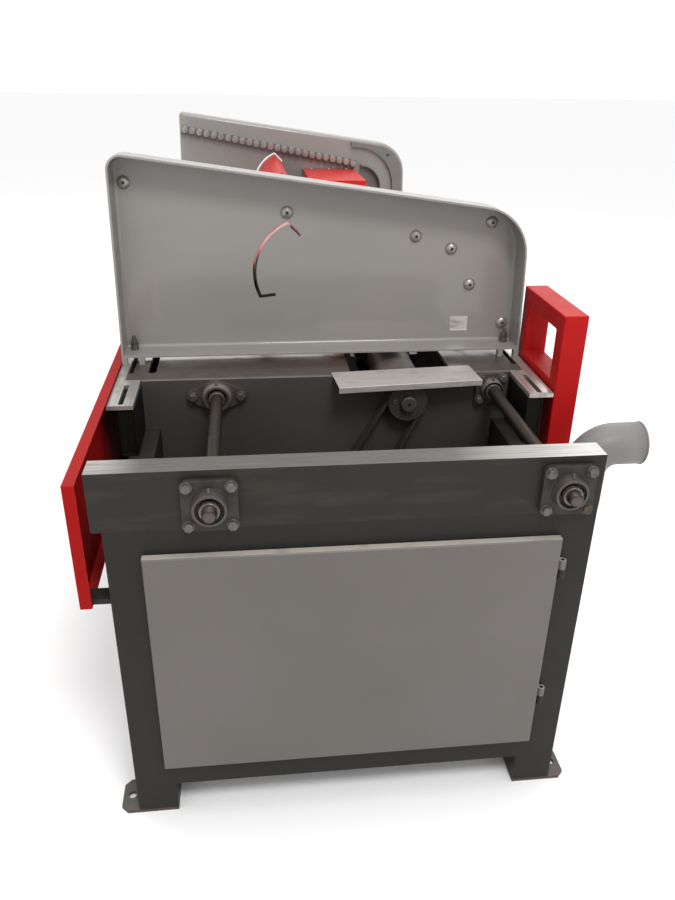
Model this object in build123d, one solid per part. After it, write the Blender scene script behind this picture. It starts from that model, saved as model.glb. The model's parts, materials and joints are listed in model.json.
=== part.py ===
from build123d import *
import os
from math import cos, radians, sin, tan

os.makedirs("parts", exist_ok=True)

# Board notching machine. Millimetres, +Z up, floor at z = 0. X runs across the machine, Y along it.
# The two ends mirror each other about the XZ plane. "behind" sizes are measured from the front face.

# Base frame
frame_length = 3100.0
frame_width = 980.0
leg_size = 90.0
leg_wall = 5.0
foot_thickness = 8.0
foot_reach = 42.0
foot_chamfer = 15.0
anchor_diameter = 18.0
bar_top = 890.0
bar_height = 126.0
bar_depth = 56.0
bar_wall = 8.0
bar_overhang = 20.0
rail_depth = 60.0
floor_gap = 85.0
bottom_rail_height = 100.0
header_height = 60.0
side_rail_height = 80.0
sheet_thickness = 3.0
floor_thickness = 6.0

# Decks, beams and slotted slide rails
deck_top = 860.0
deck_thickness = 10.0
deck_length = 663.0
beam_inset = 24.0
beam_width = 40.0
beam_height = 120.0
beam_behind = 392.0
beam_length = 708.0
plate_behind = 540.0
plate_thickness = 12.0
plate_height = 300.0
slide_rail_width = 60.0
slide_rail_behind = 388.0
slot_width = 12.0
wide_slot = 20.0
rail_slot_length = 123.0
deck_slot_length = 168.0
slot_offset = 7.0
slot_step = 52.0
rail_slot_behind = 396.0
deck_slot_behind = 597.0
cutout_left = 140.0
cutout_right = 122.0
cutout_length = 552.0

# Feed shafts, bearings and chains
shaft_diameter = 30.0
shaft_height = 820.0
drive_inset = 207.0
idle_inset = 73.0
shaft_end = 55.0
shaft_end_diameter = 28.0
shaft_hole = 40.0
insert_diameter = 46.0
insert_proud = 4.0
bearing_bolt_spacing = 83.0
bearing_margin = 12.5
bearing_corner = 14.0
small_bolt_spacing = 58.0
small_margin = 11.0
small_corner = 12.0
oblong_bolt_spacing = 117.0
oblong_margin = 15.5
oblong_width = 80.0
bearing_flange = 13.0
bearing_depth = 34.0
boss_diameter = 70.0
small_boss_diameter = 56.0
bolt_diameter = 12.0
lane_behind = 1165.0
lane_width = 30.0
sprocket_teeth = 10
chain_pitch = 19.05
chain_plate_height = 18.0
chain_plate = 2.5
chain_gap = 15.0
tooth_width = 11.0
hub_diameter = 40.0
hub_width = 36.0
lug_height = 25.0
lug_length = 22.0
guide_wall = 4.0

# Notching heads: spindle, cutter, belts and motor
spindle_x = 195.0
spindle_drop = 60.0
spindle_diameter = 40.0
spindle_behind = 482.0
housing_diameter = 118.0
housing_length = 290.0
housing_flange = 12.0
flange_width = 170.0
flange_height = 142.0
cutter_diameter = 192.0
cutter_body = 176.0
cutter_width = 220.0
cutter_rows = 5
cutter_wings = 4
cutter_stagger = 9.0
knife_height = 22.0
knife_thickness = 4.0
gullet_width = 32.0
gullet_depth = 26.0
nut_diameter = 64.0
nut_width = 20.0
pulley_behind = 498.0
pulley_width = 36.0
belt_pitch = 16.0
belt_width = 12.0
belt_depth = 9.0
groove_depth = 11.0
spindle_pulley = 100.0
motor_pulley = 140.0
belt_lean = 27.7
motor_shaft = 38.0
motor_shaft_height = 132.0
motor_diameter = 236.0
motor_behind = 575.0
motor_length = 410.0
motor_fins = 20
bare_fins = (3, 4, 5, 6, 12, 17)
fin_height = 12.0
fin_thickness = 5.0
shield_length = 40.0
cowl_length = 90.0
motor_foot_length = 180.0
motor_foot_spread = 130.0
terminal_box = 110.0
terminal_height = 46.0
cover_x = 192.0
cover_width = 366.0
cover_depth = 108.0
cover_behind = 522.0
cover_lip = 16.0
cover_skew = 4.5

# Feed gear motor on the drive shaft
gear_offset = 75.0
gear_left = 62.0
gear_right = 50.0
gear_above = 62.0
gear_below = 85.0
gear_width = 110.0
gear_gap = 50.0
gear_motor = 130.0
gear_motor_length = 260.0

# Guide panels with roller rails and chute; the rear one is set in by one slot at its left
panel_behind = 730.0
panel_thickness = 5.0
panel_depth = 75.0
panel_side = 28.0
panel_taper = 11.0
panel_height = 497.0
panel_lift = 20.0
panel_slope = 7.7
panel_left_radius = 35.0
rear_left_radius = 14.0
panel_right_radius = 130.0
panel_bend = 14.0
foot_lug = 13.0
foot_fork = 31.0
lug_depth = 18.0
hold_down_behind = 709.0
hold_down_diameter = 10.0
hold_down_block = 14.0
roller_height = 452.0
roller_slope = 10.4
roller_pitch = 30.6
roller_margin = 28.0
roller_end = 242.0
roller_diameter = 26.0
roller_length = 34.0
rail_bar_height = 36.0
rail_bar_drop = 6.0
rail_bar = 6.0
rail_bolt_drop = 10.0
rail_bolt_edge = 38.0
rail_bolt_end = 285.0
chute_height = 212.0
chute_outer_radius = 163.0
chute_outer_edge = 61.0
chute_inner_radius = 91.0
chute_inner_edge = 116.0
chute_depth = 40.0
chute_sheet = 5.0
chute_drop = 100.0
chute_web = 44.0
corner_thickness = 20.0
corner_margin = 12.0
corner_lead = 24.0
corner_drop = 45.0
chute_bolts = ((189.0, 276.0), (132.0, 181.0))
corner_bolts = ((86.0, 343.0), (32.0, 74.0))
window_edge = 151.0
window_height = 73.0
window_width = 50.0
window_tall = 40.0
panel_bolt = 10.0
panel_washer = 27.0

# Red guards
guard_radius = 136.0
guard_x = -40.0
rear_guard_x = -10.0
guard_height = 216.0
guard_sheet = 4.0
guard_slit = 9.0
guard_length = 650.0
guard_bolt_offset = 53.0
hood_left = 63.0
hood_width = 228.0
hood_bottom = 100.0
hood_top = 284.0
hood_length = 390.0
hood_sheet = 3.0
frame_gap = 28.0
frame_tube = 60.0
frame_member = 44.0
frame_behind = 400.0
frame_run = 285.0
frame_top = 1047.0
frame_bottom = 610.0
frame_sill = 855.0
apron_gap = 45.0
apron_top = 868.0
apron_bottom = 588.0
apron_flange = 24.0
bracket_height = 40.0
bracket_width = 30.0

# Dust spouts
spout_diameter = 100.0
spout_wall = 3.0
spout_behind = 290.0
spout_low = 560.0
spout_high = 768.0
spout_rise_x = 588.0
spout_end_x = 716.0
spout_bend = 66.0
collar_diameter = 140.0
collar_thickness = 4.0

# Doors and their hinges
door_width = 840.0
door_bottom = 151.0
door_top = 710.0
door_depth = 20.0
door_sheet = 2.0
door_bevel = 4.0
hinge_heights = (287.0, 632.0)
hinge_length = 46.0
knuckle_diameter = 16.0
hinge_pin = 8.0

# Fits
running = 0.08
seat = 0.02
gap = 0.3

# Derived levels and places
half_width = frame_width / 2
leg_top = bar_top - bar_height
bottom_rail_top = floor_gap + bottom_rail_height
floor_top = bottom_rail_top + floor_thickness
deck_bottom = deck_top - deck_thickness
beam_bottom = deck_bottom - beam_height
beam_inner = half_width - beam_inset
beam_outer = beam_inner + beam_width
deck_half = beam_outer - 1
deck_behind = plate_behind + plate_thickness
slot_x = half_width + slot_offset
drive_x = drive_inset - half_width
idle_x = half_width - idle_inset
spindle_z = deck_top - spindle_drop
motor_z = floor_top + motor_shaft_height
motor_x = spindle_x - (spindle_z - motor_z) * tan(radians(belt_lean))
bearing_square = bearing_bolt_spacing + 2 * bearing_margin
small_square = small_bolt_spacing + 2 * small_margin
pitch_radius = chain_pitch / 2 / sin(radians(180 / sprocket_teeth))
cutter_behind = deck_behind + housing_length + 8
panel_bottom = deck_top + panel_lift
panel_half = slot_x + panel_side
roller_step = roller_pitch * cos(radians(roller_slope))
chute_z = deck_top + chute_height
chute_outer_x = panel_half - chute_outer_edge
chute_inner_x = panel_half - chute_inner_edge
door_hinge_x = door_width / 2 + knuckle_diameter / 2 + 2


def at(behind):
    """Y of a plane that lies this far behind the front face of the machine."""
    return behind - frame_length / 2


def block(x, y, z):
    """A box between two limits on each axis."""
    sizes = [abs(b - a) for a, b in (x, y, z)]
    middle = [(a + b) / 2 for a, b in (x, y, z)]
    return Pos(*middle) * Box(*sizes)


def tube(x, y, z, axis):
    """A square tube, open along one axis."""
    limits = [x, y, z]
    inner = [(a, b) if i == axis else (a + leg_wall, b - leg_wall) for i, (a, b) in enumerate(limits)]
    return block(*limits) - block(*inner)


def rod(x, z, y, radius):
    """A round bar along Y."""
    return Pos(x, sum(y) / 2, z) * Rot(90, 0, 0) * Cylinder(radius, abs(y[1] - y[0]))


def turned(points, x, z):
    """A piece turned about a line along Y: the points are radius and y."""
    return Pos(x, 0, z) * revolve(make_face(Polyline(*points, close=True)), Axis.Y)


def plate(outline, y):
    """A sheet whose outline is drawn in X and Z, between two limits on Y."""
    place = Plane((0, max(y), 0), x_dir=(1, 0, 0), z_dir=(0, -1, 0))
    return extrude(place * outline, amount=max(y) - min(y))


def rear(shapes):
    """The same pieces at the other end of the machine."""
    return [mirror(s, about=Plane.XZ) for s in shapes]


def both_ends(shapes):
    return shapes + rear(shapes)


def both_sides(shapes):
    return shapes + [mirror(s, about=Plane.YZ) for s in shapes]


def save(name, shapes):
    """Write one node; a group keeps its pieces as separate solids."""
    export_step(Compound(children=shapes) if len(shapes) > 1 else shapes[0], f"parts/{name}.step")


def legs():
    x = (half_width - leg_size, half_width)
    return both_ends(both_sides([tube(x, (at(0), at(leg_size)), (foot_thickness, leg_top), 2)]))


def foot_plates():
    """Plates under the legs that reach outward for the floor anchors."""
    middle = at(leg_size / 2)
    foot = block((half_width - leg_size, half_width + foot_reach), (at(0), at(leg_size)), (0, foot_thickness))
    foot = chamfer(foot.edges().filter_by(Axis.Z).group_by(Axis.X)[-1], foot_chamfer)
    hole = Pos(half_width + foot_reach / 2, middle, 0) * Cylinder(anchor_diameter / 2, 4 * foot_thickness)
    return both_ends(both_sides([foot - hole]))


def frame_rails():
    """Tubes between the legs: two across each end and two along each side."""
    low = (floor_gap, bottom_rail_top)
    inner = half_width - leg_size
    header = (leg_top - header_height, leg_top)
    across = [tube((-inner, inner), (at(0), at(rail_depth)), z, 0) for z in (low, header)]
    side = (half_width - rail_depth, half_width)
    run = (at(leg_size), -at(leg_size))
    along = [tube(side, run, z, 1) for z in (low, (beam_bottom - side_rail_height, beam_bottom))]
    return both_ends(across) + both_sides(along)


def square_places(x, spacing):
    """The four bolt places of a square bearing."""
    h = spacing / 2
    return [(x + i, shaft_height + k) for i in (-h, h) for k in (-h, h)]


def oblong_places(x):
    return [(x + i * oblong_bolt_spacing / 2, shaft_height) for i in (-1, 1)]


def bearing_bars():
    """Channels across the two ends that carry the outer bearings."""
    x = (-half_width - bar_overhang, half_width)
    bar = block(x, (at(0), at(bar_depth)), (leg_top, bar_top))
    bar -= block(x, (at(bar_wall), at(bar_depth)), (leg_top + bar_wall, bar_top - bar_wall))
    for shaft in (drive_x, idle_x):
        bar -= rod(shaft, shaft_height, (at(0), at(bar_wall)), shaft_hole / 2)
        for place in square_places(shaft, bearing_bolt_spacing):
            bar -= rod(*place, (at(0), at(bar_wall)), bolt_diameter / 2 + running)
    return both_ends([bar])


def side_beams():
    y = (at(beam_behind), at(beam_behind + beam_length))
    return both_ends(both_sides([tube((beam_inner, beam_outer), y, (beam_bottom, deck_bottom), 1)]))


def slot(x, behind, length, width):
    """A slot along Y for the hold-down bolts."""
    middle = (x, at(behind + length / 2), deck_top - deck_thickness / 2)
    return Pos(*middle) * extrude(Rot(0, 0, 90) * SlotOverall(length, width), deck_thickness, both=True)


def slide_rails():
    """Slotted plates on the side beams, from the well to the end of the deck."""
    inner = beam_inner + 2
    outer = inner + slide_rail_width
    level = (deck_bottom, deck_top)
    wide = block((inner, outer), (at(slide_rail_behind), at(deck_behind) - gap), level)
    strip = block((deck_half + gap, outer), (at(deck_behind) - gap, at(deck_behind + deck_length)), level)
    rail = wide + strip - slot(slot_x, rail_slot_behind, rail_slot_length, slot_width)
    return both_ends(both_sides([rail]))


def decks():
    """Table plates with the cutter opening, the panel slots and the chain lane."""
    level = (deck_bottom, deck_top)
    deck = block((-deck_half, deck_half), (at(deck_behind), at(deck_behind + deck_length)), level)
    y = (at(deck_behind), at(deck_behind + cutout_length))
    deck -= block((spindle_x - cutout_left, spindle_x + cutout_right), y, level)
    for x, width in ((slot_x, slot_width), (-slot_x, slot_width), (slot_step - slot_x, wide_slot)):
        deck -= slot(x, deck_slot_behind, deck_slot_length, width)
    reach = pitch_radius + chain_plate_height / 2 + lug_height + 6
    y = (at(lane_behind) - lane_width / 2, at(lane_behind) + lane_width / 2)
    deck -= block((drive_x - reach, idle_x + reach), y, level)
    return both_ends([deck])


def inner_plates():
    """Upright plates between the beams; spindle and inner bearings bolt to them."""
    y = (at(plate_behind), at(deck_behind))
    wide = block((-beam_inner, beam_inner), y, (beam_bottom, deck_top))
    narrow = half_width - rail_depth - 1
    inner = wide + block((-narrow, narrow), y, (deck_top - plate_height, beam_bottom))
    for shaft in (drive_x, idle_x):
        inner -= rod(shaft, shaft_height, y, shaft_hole / 2)
    inner -= rod(spindle_x, spindle_z, y, spindle_diameter / 2 + 8)
    for place in oblong_places(drive_x) + square_places(idle_x, small_bolt_spacing):
        inner -= rod(*place, y, bolt_diameter / 2 + running)
    return both_ends([inner])


def cabinet_sheets():
    """Side sheets between the rails, with the spout holes, and the floor sheet."""
    y = (at(leg_size), -at(leg_size))
    z = (bottom_rail_top, beam_bottom - side_rail_height)
    left = block((-half_width, sheet_thickness - half_width), y, z)
    right = block((half_width - sheet_thickness, half_width), y, z)
    for behind in (spout_behind, frame_length - spout_behind):
        hole = Rot(0, 90, 0) * Cylinder(spout_diameter / 2 - spout_wall, 4 * sheet_thickness)
        right -= Pos(half_width, at(behind), spout_low) * hole
    reach = half_width - sheet_thickness
    return [left, right, block((-reach, reach), y, (bottom_rail_top, floor_top))]


def flange_bearing(outline, face, x, places, boss):
    """A cast flanged bearing: flange, tapered boss, bolt holes and a bore for the insert."""
    front = face - bearing_depth
    back = face - bearing_flange
    body = plate(Pos(x, shaft_height) * outline, (back, face))
    body += turned([(0, back + 1), (boss, back + 1), (boss - 3, front), (0, front)], x, shaft_height)
    for place in places:
        body -= rod(*place, (back, face), bolt_diameter / 2 + 0.5)
    return body - rod(x, shaft_height, (front, face), insert_diameter / 2 + running)


def outer_bearing_housings():
    outline = RectangleRounded(bearing_square, bearing_square, bearing_corner)
    housings = []
    for x in (drive_x, idle_x):
        places = square_places(x, bearing_bolt_spacing)
        housings.append(flange_bearing(outline, at(0), x, places, boss_diameter / 2))
    return both_ends(housings)


def inner_bearing_housings():
    """On the inner plates: oblong ones on the drive shaft, small square ones on the idle shaft."""
    eyes = [Pos(i * oblong_bolt_spacing / 2, 0) * Circle(oblong_margin) for i in (-1, 1)]
    oblong = make_hull((Circle(oblong_width / 2) + eyes[0] + eyes[1]).edges())
    square = RectangleRounded(small_square, small_square, small_corner)
    face = at(plate_behind)
    first = flange_bearing(oblong, face, drive_x, oblong_places(drive_x), boss_diameter / 2)
    places = square_places(idle_x, small_bolt_spacing)
    second = flange_bearing(square, face, idle_x, places, small_boss_diameter / 2)
    return both_ends([first, second])


def hex_bolt(place, face, depth):
    """A hex bolt with its washer on a face; the shank runs on behind it."""
    r = bolt_diameter / 2
    washer = face - 2.5
    head = plate(Pos(*place) * RegularPolygon(r * 1.7, 6), (washer - 8, washer))
    end = face + depth
    shank = turned([(0, washer), (2 * r, washer), (2 * r, face), (r, face), (r, end), (0, end)], *place)
    return head + shank


def bearing_bolts():
    bolts = []
    for x in (drive_x, idle_x):
        for place in square_places(x, bearing_bolt_spacing):
            bolts.append(hex_bolt(place, at(0) - bearing_flange, bearing_flange + bar_wall))
    for place in oblong_places(drive_x) + square_places(idle_x, small_bolt_spacing):
        bolts.append(hex_bolt(place, at(plate_behind) - bearing_flange, bearing_flange + plate_thickness))
    return both_ends(bolts)


def bearing_inserts(x):
    """Insert bearings that turn with one shaft."""
    inserts = []
    for face in (at(0), at(plate_behind)):
        y = (face - bearing_depth - insert_proud, face)
        bore = rod(x, shaft_height, y, shaft_diameter / 2 + seat)
        inserts.append(rod(x, shaft_height, y, insert_diameter / 2) - bore)
    return both_ends(inserts)


def feed_shaft(x):
    """A shaft through all four bearings, with stepped and chamfered ends outside the bars."""
    r = shaft_diameter / 2
    stub = shaft_end_diameter / 2
    end = frame_length / 2 + shaft_end
    step = frame_length / 2 + bearing_depth + insert_proud
    half = [(stub - 2, end), (stub, end - 2), (stub, step), (r, step)]
    points = [(0, end)] + half + [(radius, -y) for radius, y in reversed(half)] + [(0, -end)]
    return [turned(points, x, shaft_height)]


def sprockets(x):
    """Chain wheels on one shaft, one in each lane."""
    tip = pitch_radius + 4.5
    root = pitch_radius - chain_pitch * 0.31
    points = []
    for tooth in range(sprocket_teeth):
        for part, radius in ((-0.36, root), (-0.1, tip), (0.1, tip), (0.36, root)):
            turn = radians((tooth + part) * 360 / sprocket_teeth)
            points.append((radius * cos(turn), radius * sin(turn)))
    y = at(lane_behind)
    toothed = make_face(Polyline(*points, close=True))
    wheel = plate(Pos(x, shaft_height) * toothed, (y - tooth_width / 2, y + tooth_width / 2))
    wheel += rod(x, shaft_height, (y - hub_width / 2, y + hub_width / 2), hub_diameter / 2)
    bore = rod(x, shaft_height, (y - hub_width, y + hub_width), shaft_diameter / 2 + seat)
    return both_ends([wheel - bore])


def loop(first, second, radii, inset):
    """A closed band round two wheels, seen along Y: outer edge at the radii, inset deep."""
    wheels = [Pos(*first) * Circle(radii[0]), Pos(*second) * Circle(radii[1])]
    inner = [Pos(*first) * Circle(radii[0] - inset), Pos(*second) * Circle(radii[1] - inset)]
    return make_hull((wheels[0] + wheels[1]).edges()) - make_hull((inner[0] + inner[1]).edges())


def feed_chains():
    """Two link-plate loops tied by cross pins on the straight runs, with board lugs."""
    y = at(lane_behind)
    outer = pitch_radius + chain_plate_height / 2
    band = loop((drive_x, shaft_height), (idle_x, shaft_height), (outer, outer), chain_plate_height)
    wide = chain_gap / 2 + chain_plate
    chain = plate(band, (y - wide, y - chain_gap / 2)) + plate(band, (y + chain_gap / 2, y + wide))
    run = idle_x - drive_x
    for pin in range(1, 9):
        for side in (-1, 1):
            x = drive_x + run * (0.08 + 0.105 * (pin - 0.5))
            chain += rod(x, shaft_height + side * pitch_radius, (y - wide - 1, y + wide + 1), 5.9)
    for part, side in ((0.29, 1), (0.86, 1), (0.15, -1), (0.72, -1)):
        x = drive_x + run * part
        z = (shaft_height + side * (outer - 2), shaft_height + side * (outer + lug_height))
        chain += block((x - lug_length / 2, x + lug_length / 2), (y - wide, y + wide), z)
    return both_ends([chain])


def chain_guides():
    """Channels under the deck lanes with a centre rib that carries the chain rollers."""
    y = at(lane_behind)
    x = (drive_x + 2 * pitch_radius, idle_x - 2 * pitch_radius)
    low = shaft_height - pitch_radius + chain_plate_height / 2 + 4
    inside = lane_width / 2 + 2
    guide = block(x, (y - inside - guide_wall, y + inside + guide_wall), (low, deck_bottom))
    guide -= block(x, (y - inside, y + inside), (low + guide_wall, deck_bottom))
    return both_ends([guide + block(x, (y - 5, y + 5), (low, shaft_height + pitch_radius - 6.3))])


def spindle_housings():
    """Bearing barrels of the cutter spindles, flanged to the inner plates."""
    y = at(deck_behind)
    top = deck_bottom - 2
    z = (top - flange_height, top)
    x = (spindle_x - flange_width / 2, spindle_x + flange_width / 2)
    barrel = rod(spindle_x, spindle_z, (y, y + housing_length), housing_diameter / 2)
    barrel = chamfer(barrel.edges().sort_by(Axis.Y)[-1], 6) + block(x, (y, y + housing_flange), z)
    bore = rod(spindle_x, spindle_z, (y, y + housing_length), spindle_diameter / 2 + running)
    return both_ends([barrel - bore])


def spindle():
    """Cutter spindle with a centre-drilled front end and a shoulder for the cutter."""
    r = spindle_diameter / 2
    front = at(spindle_behind)
    shoulder = at(cutter_behind)
    end = shoulder + cutter_width + nut_width + 6
    points = [(0, front + 8), (4, front), (r - 2, front), (r, front + 2)]
    points += [(r, shoulder - 6), (r + 12, shoulder - 6)]
    points += [(r + 12, shoulder), (r, shoulder), (r, end - 3), (r - 3, end), (0, end)]
    return [turned(points, spindle_x, spindle_z)]


def pulley(x, z, diameter, bore):
    """A two-groove belt pulley with sunk web."""
    y = at(pulley_behind)
    r = diameter / 2
    points = [(bore / 2 + seat, y), (r, y)]
    for groove in (-0.5, 0.5):
        middle = y + pulley_width / 2 + groove * belt_pitch
        base = belt_width / 2 + gap
        points += [(r, middle - base - 0.7), (r - groove_depth, middle - base)]
        points += [(r - groove_depth, middle + base), (r, middle + base + 0.7)]
    points += [(r, y + pulley_width), (bore / 2 + seat, y + pulley_width)]
    return [turned(points, x, z)]


def drive_belts():
    """Two belts from the motor pulley to the spindle pulley at each end."""
    radii = (spindle_pulley / 2 - 0.4, motor_pulley / 2 - 0.4)
    band = loop((spindle_x, spindle_z), (motor_x, motor_z), radii, belt_depth)
    belts = []
    for groove in (-0.5, 0.5):
        middle = at(pulley_behind) + pulley_width / 2 + groove * belt_pitch
        belts.append(plate(band, (middle - belt_width / 2, middle + belt_width / 2)))
    return both_ends(belts)


def cutter_head():
    """A stepped cutter body with staggered chip gullets, and the nut that clamps it."""
    r = cutter_body / 2
    row = cutter_width / cutter_rows
    head = []
    for step in range(cutter_rows):
        disc = Circle(r)
        for wing in range(cutter_wings):
            turn = Rot(0, 0, wing * 360 / cutter_wings + step * cutter_stagger)
            disc -= turn * Pos(r, gullet_width / 2) * Rectangle(2 * gullet_depth, gullet_width)
        y = at(cutter_behind) + step * row
        head.append(plate(Pos(spindle_x, spindle_z) * disc, (y, y + row)))
    y = (at(cutter_behind), at(cutter_behind) + cutter_width)
    bore = spindle_diameter / 2 + seat
    body = Part() + head - rod(spindle_x, spindle_z, y, bore)
    hexagon = RegularPolygon(nut_diameter / 2, 6) - Circle(bore)
    nut = plate(Pos(spindle_x, spindle_z) * hexagon, (y[1], y[1] + nut_width))
    return [body, nut]


def knives():
    """Carbide knives, one on the wall of every gullet."""
    row = cutter_width / cutter_rows
    low = cutter_diameter / 2 - knife_height
    blades = []
    for step in range(cutter_rows):
        for wing in range(cutter_wings):
            turn = Rot(0, 0, wing * 360 / cutter_wings + step * cutter_stagger)
            blade = Rectangle(knife_height, knife_thickness)
            blade = turn * Pos(low + knife_height / 2, knife_thickness / 2) * blade
            y = at(cutter_behind) + step * row
            blades.append(plate(Pos(spindle_x, spindle_z) * blade, (y + 1, y + row - 1)))
    return blades


def motors():
    """Finned motors on the cabinet floor: barrel, end shield, fan cowl, feet and terminal box."""
    r = motor_diameter / 2
    core = r - fin_height
    front = at(motor_behind)
    back = front + motor_length
    section = Circle(core)
    for fin in range(motor_fins):
        if fin not in bare_fins:
            turn = Rot(0, 0, (fin + 0.5) * 360 / motor_fins)
            section += turn * Pos(core, 0) * Rectangle(2 * fin_height, fin_thickness)
    barrel = (front + shield_length, back - cowl_length)
    shield = [(0, front), (r * 0.55, front), (r - 4, front + 18), (r - 4, barrel[0]), (0, barrel[0])]
    cowl = [(0, barrel[1]), (r, barrel[1]), (r, back - 14), (r - 20, back), (0, back)]
    bore = rod(motor_x, motor_z, (front, front + 60), motor_shaft / 2 + running)
    pieces = [plate(Pos(motor_x, motor_z) * section, barrel) - bore, turned(shield, motor_x, motor_z) - bore]
    pieces.append(turned(cowl, motor_x, motor_z))
    inside = rod(motor_x, motor_z, (front, back), core)
    y = (barrel[0] + 10, barrel[0] + 10 + motor_foot_length)
    for side in (-1, 1):
        x = (motor_x + side * core * 0.66, motor_x + side * motor_foot_spread)
        foot = block(x, y, (floor_top, floor_top + 18))
        x = (motor_x + side * core * 0.66, motor_x + side * core * 0.85)
        pieces.append(foot + block(x, y, (floor_top, motor_z - core * 0.6)) - inside)
    x = (motor_x - terminal_box / 2, motor_x + terminal_box / 2)
    box = block(x, (y[0], y[0] + terminal_box), (motor_z + core * 0.8, motor_z + r + terminal_height))
    return both_ends(pieces + [box - inside])


def motor_shafts():
    """Drive end of the motor rotor."""
    y = (at(spindle_behind) + 4, at(motor_behind) + 59)
    r = motor_shaft / 2
    points = [(0, y[0]), (r - 2, y[0]), (r, y[0] + 2), (r, y[1]), (0, y[1])]
    return [turned(points, motor_x, motor_z)]


def pulley_covers():
    """Loose lipped sheets that lie over the spindle pulleys."""
    cover = Box(cover_width, cover_depth, 3)
    lip = Pos(0, 1.5 - cover_depth / 2, -cover_lip / 2) * Box(cover_width, 3, cover_lip - 3)
    return both_ends([Pos(cover_x, at(cover_behind), deck_top + 1.5) * Rot(0, 0, cover_skew) * (cover + lip)])


def feed_gearmotor():
    """Hollow-shaft worm gear motor on the rear end of the drive shaft, held by a torque arm."""
    face = -at(plate_behind)
    y = (face + gear_gap, face + gear_gap + gear_width)
    x = (drive_x - gear_left, drive_x + gear_offset + gear_right)
    low = shaft_height - gear_below
    box = block(x, y, (low, shaft_height + gear_above))
    box = chamfer(box.edges().filter_by(Axis.Y), 14)
    motor_x_place = drive_x + gear_offset
    middle = sum(y) / 2
    z = low - gear_motor_length / 2
    box += Pos(motor_x_place, middle, z) * Cylinder(gear_motor / 2, gear_motor_length)
    box += block((drive_x - 40, drive_x + 40), (face, y[0]), (low + 2, low + 32))
    return [box - rod(drive_x, shaft_height, y, shaft_diameter / 2 + running)]


def panel_outline(inset):
    """Outline of a guide panel in X and Z: sloping top and two rounded top corners."""
    fall = tan(radians(panel_slope))
    top = panel_bottom + panel_height
    high = panel_half - panel_taper
    low = panel_bottom + gap
    left = [(inset - panel_half, low), (inset - high, top - inset * fall)]
    right = [(high, top - 2 * high * fall), (panel_half, low)]
    corner = rear_left_radius if inset else panel_left_radius
    return FilletPolyline(*left, *right, radius=[8, corner, panel_right_radius, 8], close=True)


def guard_path(x, radius, reach):
    """Section of the curved guard: hook, arc and tail."""
    arc = CenterArc((x, deck_top + guard_height), radius, 111.7, 94)
    hook = Line(arc @ 1, arc @ 1 + reach * Vector(35, 4))
    tail = Line(arc @ 0 + reach * Vector(29, -29), arc @ 0)
    return tail + arc + hook


def roller_z(x):
    """Height of the roller line above the floor."""
    return deck_top + roller_height - (x + panel_half - rail_bolt_edge) * tan(radians(roller_slope))


def rail_bolt_places(inset):
    """The bolts of the roller rail, just under the roller line."""
    across = (inset + rail_bolt_edge - panel_half, guard_x - guard_bolt_offset, panel_half - rail_bolt_end)
    return [(x, roller_z(x) - rail_bolt_drop) for x in across]


def edge_places(bolts):
    """Bolts given by their distance from the right edge of the panel and their height above the deck."""
    return [(panel_half - edge, deck_top + z) for edge, z in bolts]


def bolt_places(inset):
    return rail_bolt_places(inset) + edge_places(chute_bolts) + edge_places(corner_bolts)


def foot_places(inset):
    return (inset - slot_x, slot_x)


def bolt_holes(places, y):
    """Clearance holes along Y."""
    return [rod(x, z, y, panel_bolt / 2 + running) for x, z in places]


def guide_panel(inset, guard):
    """Pressed panel: rounded rim toward the end of the machine, forked feet, guard slit and window."""
    face = at(panel_behind)
    rim = face - panel_depth
    outline = make_face(panel_outline(inset))
    pan = plate(outline, (rim, face + panel_thickness))
    pan = fillet(pan.faces().sort_by(Axis.Y)[-1].edges(), panel_bend)
    hollow = plate(offset(outline, -panel_thickness), (rim, face))
    pan -= fillet(hollow.faces().sort_by(Axis.Y)[-1].edges(), panel_bend - panel_thickness)
    through = (face - 1, face + panel_thickness + 1)
    middle = guard_radius - guard_sheet / 2 - seat + guard_slit / 2
    pan -= plate(trace(guard_path(guard, middle, 1.12), guard_slit), through)
    window = Pos(panel_half - window_edge, deck_top + window_height) * Rectangle(window_width, window_tall)
    pan -= plate(window, through)
    pan -= bolt_holes(bolt_places(inset), through)
    height = (deck_top + gap, panel_bottom + 3)
    for x in foot_places(inset):
        pan -= Pos(x, at(hold_down_behind), panel_bottom) * Cylinder(hold_down_diameter / 2 + 0.5, 40)
        for edge in (-1, 1):
            near = x + edge * foot_fork / 2
            pan += block((near, near + edge * foot_lug), (rim, rim + lug_depth), height)
    return [pan]


def roller_places(inset):
    """Rollers from the chute up to the left edge of the panel."""
    last = panel_half - roller_end
    count = int((last + panel_half - inset - roller_margin) / roller_step) + 1
    return [last - n * roller_step for n in range(count)]


def roller_rail(inset):
    """Sloping bar on the panel that carries the roller axles."""
    y = (at(panel_behind) + panel_thickness, at(panel_behind) + panel_thickness + rail_bar)
    places = roller_places(inset)
    x = (places[0] + places[-1]) / 2
    bar = Pos(0, -rail_bar_drop) * Rectangle(roller_pitch * len(places), rail_bar_height)
    bar = Pos(x, roller_z(x)) * Rot(0, 0, -roller_slope) * bar
    return [plate(bar, y) - bolt_holes(rail_bolt_places(inset), y)]


def rollers(inset):
    """The row of free rollers that the boards run down on."""
    y = at(panel_behind) + panel_thickness + rail_bar
    r = roller_diameter / 2
    end = y + roller_length
    first = turned([(0, y), (6, y), (6, y + 2), (r, y + 2), (r, end - 1), (r - 1, end), (0, end)], 0, 0)
    return [Pos(x, 0, roller_z(x)) * first for x in roller_places(inset)]


def area(x, z):
    """A rectangle between limits on X and Z."""
    return Pos(sum(x) / 2, sum(z) / 2) * Rectangle(x[1] - x[0], z[1] - z[0])


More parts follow.
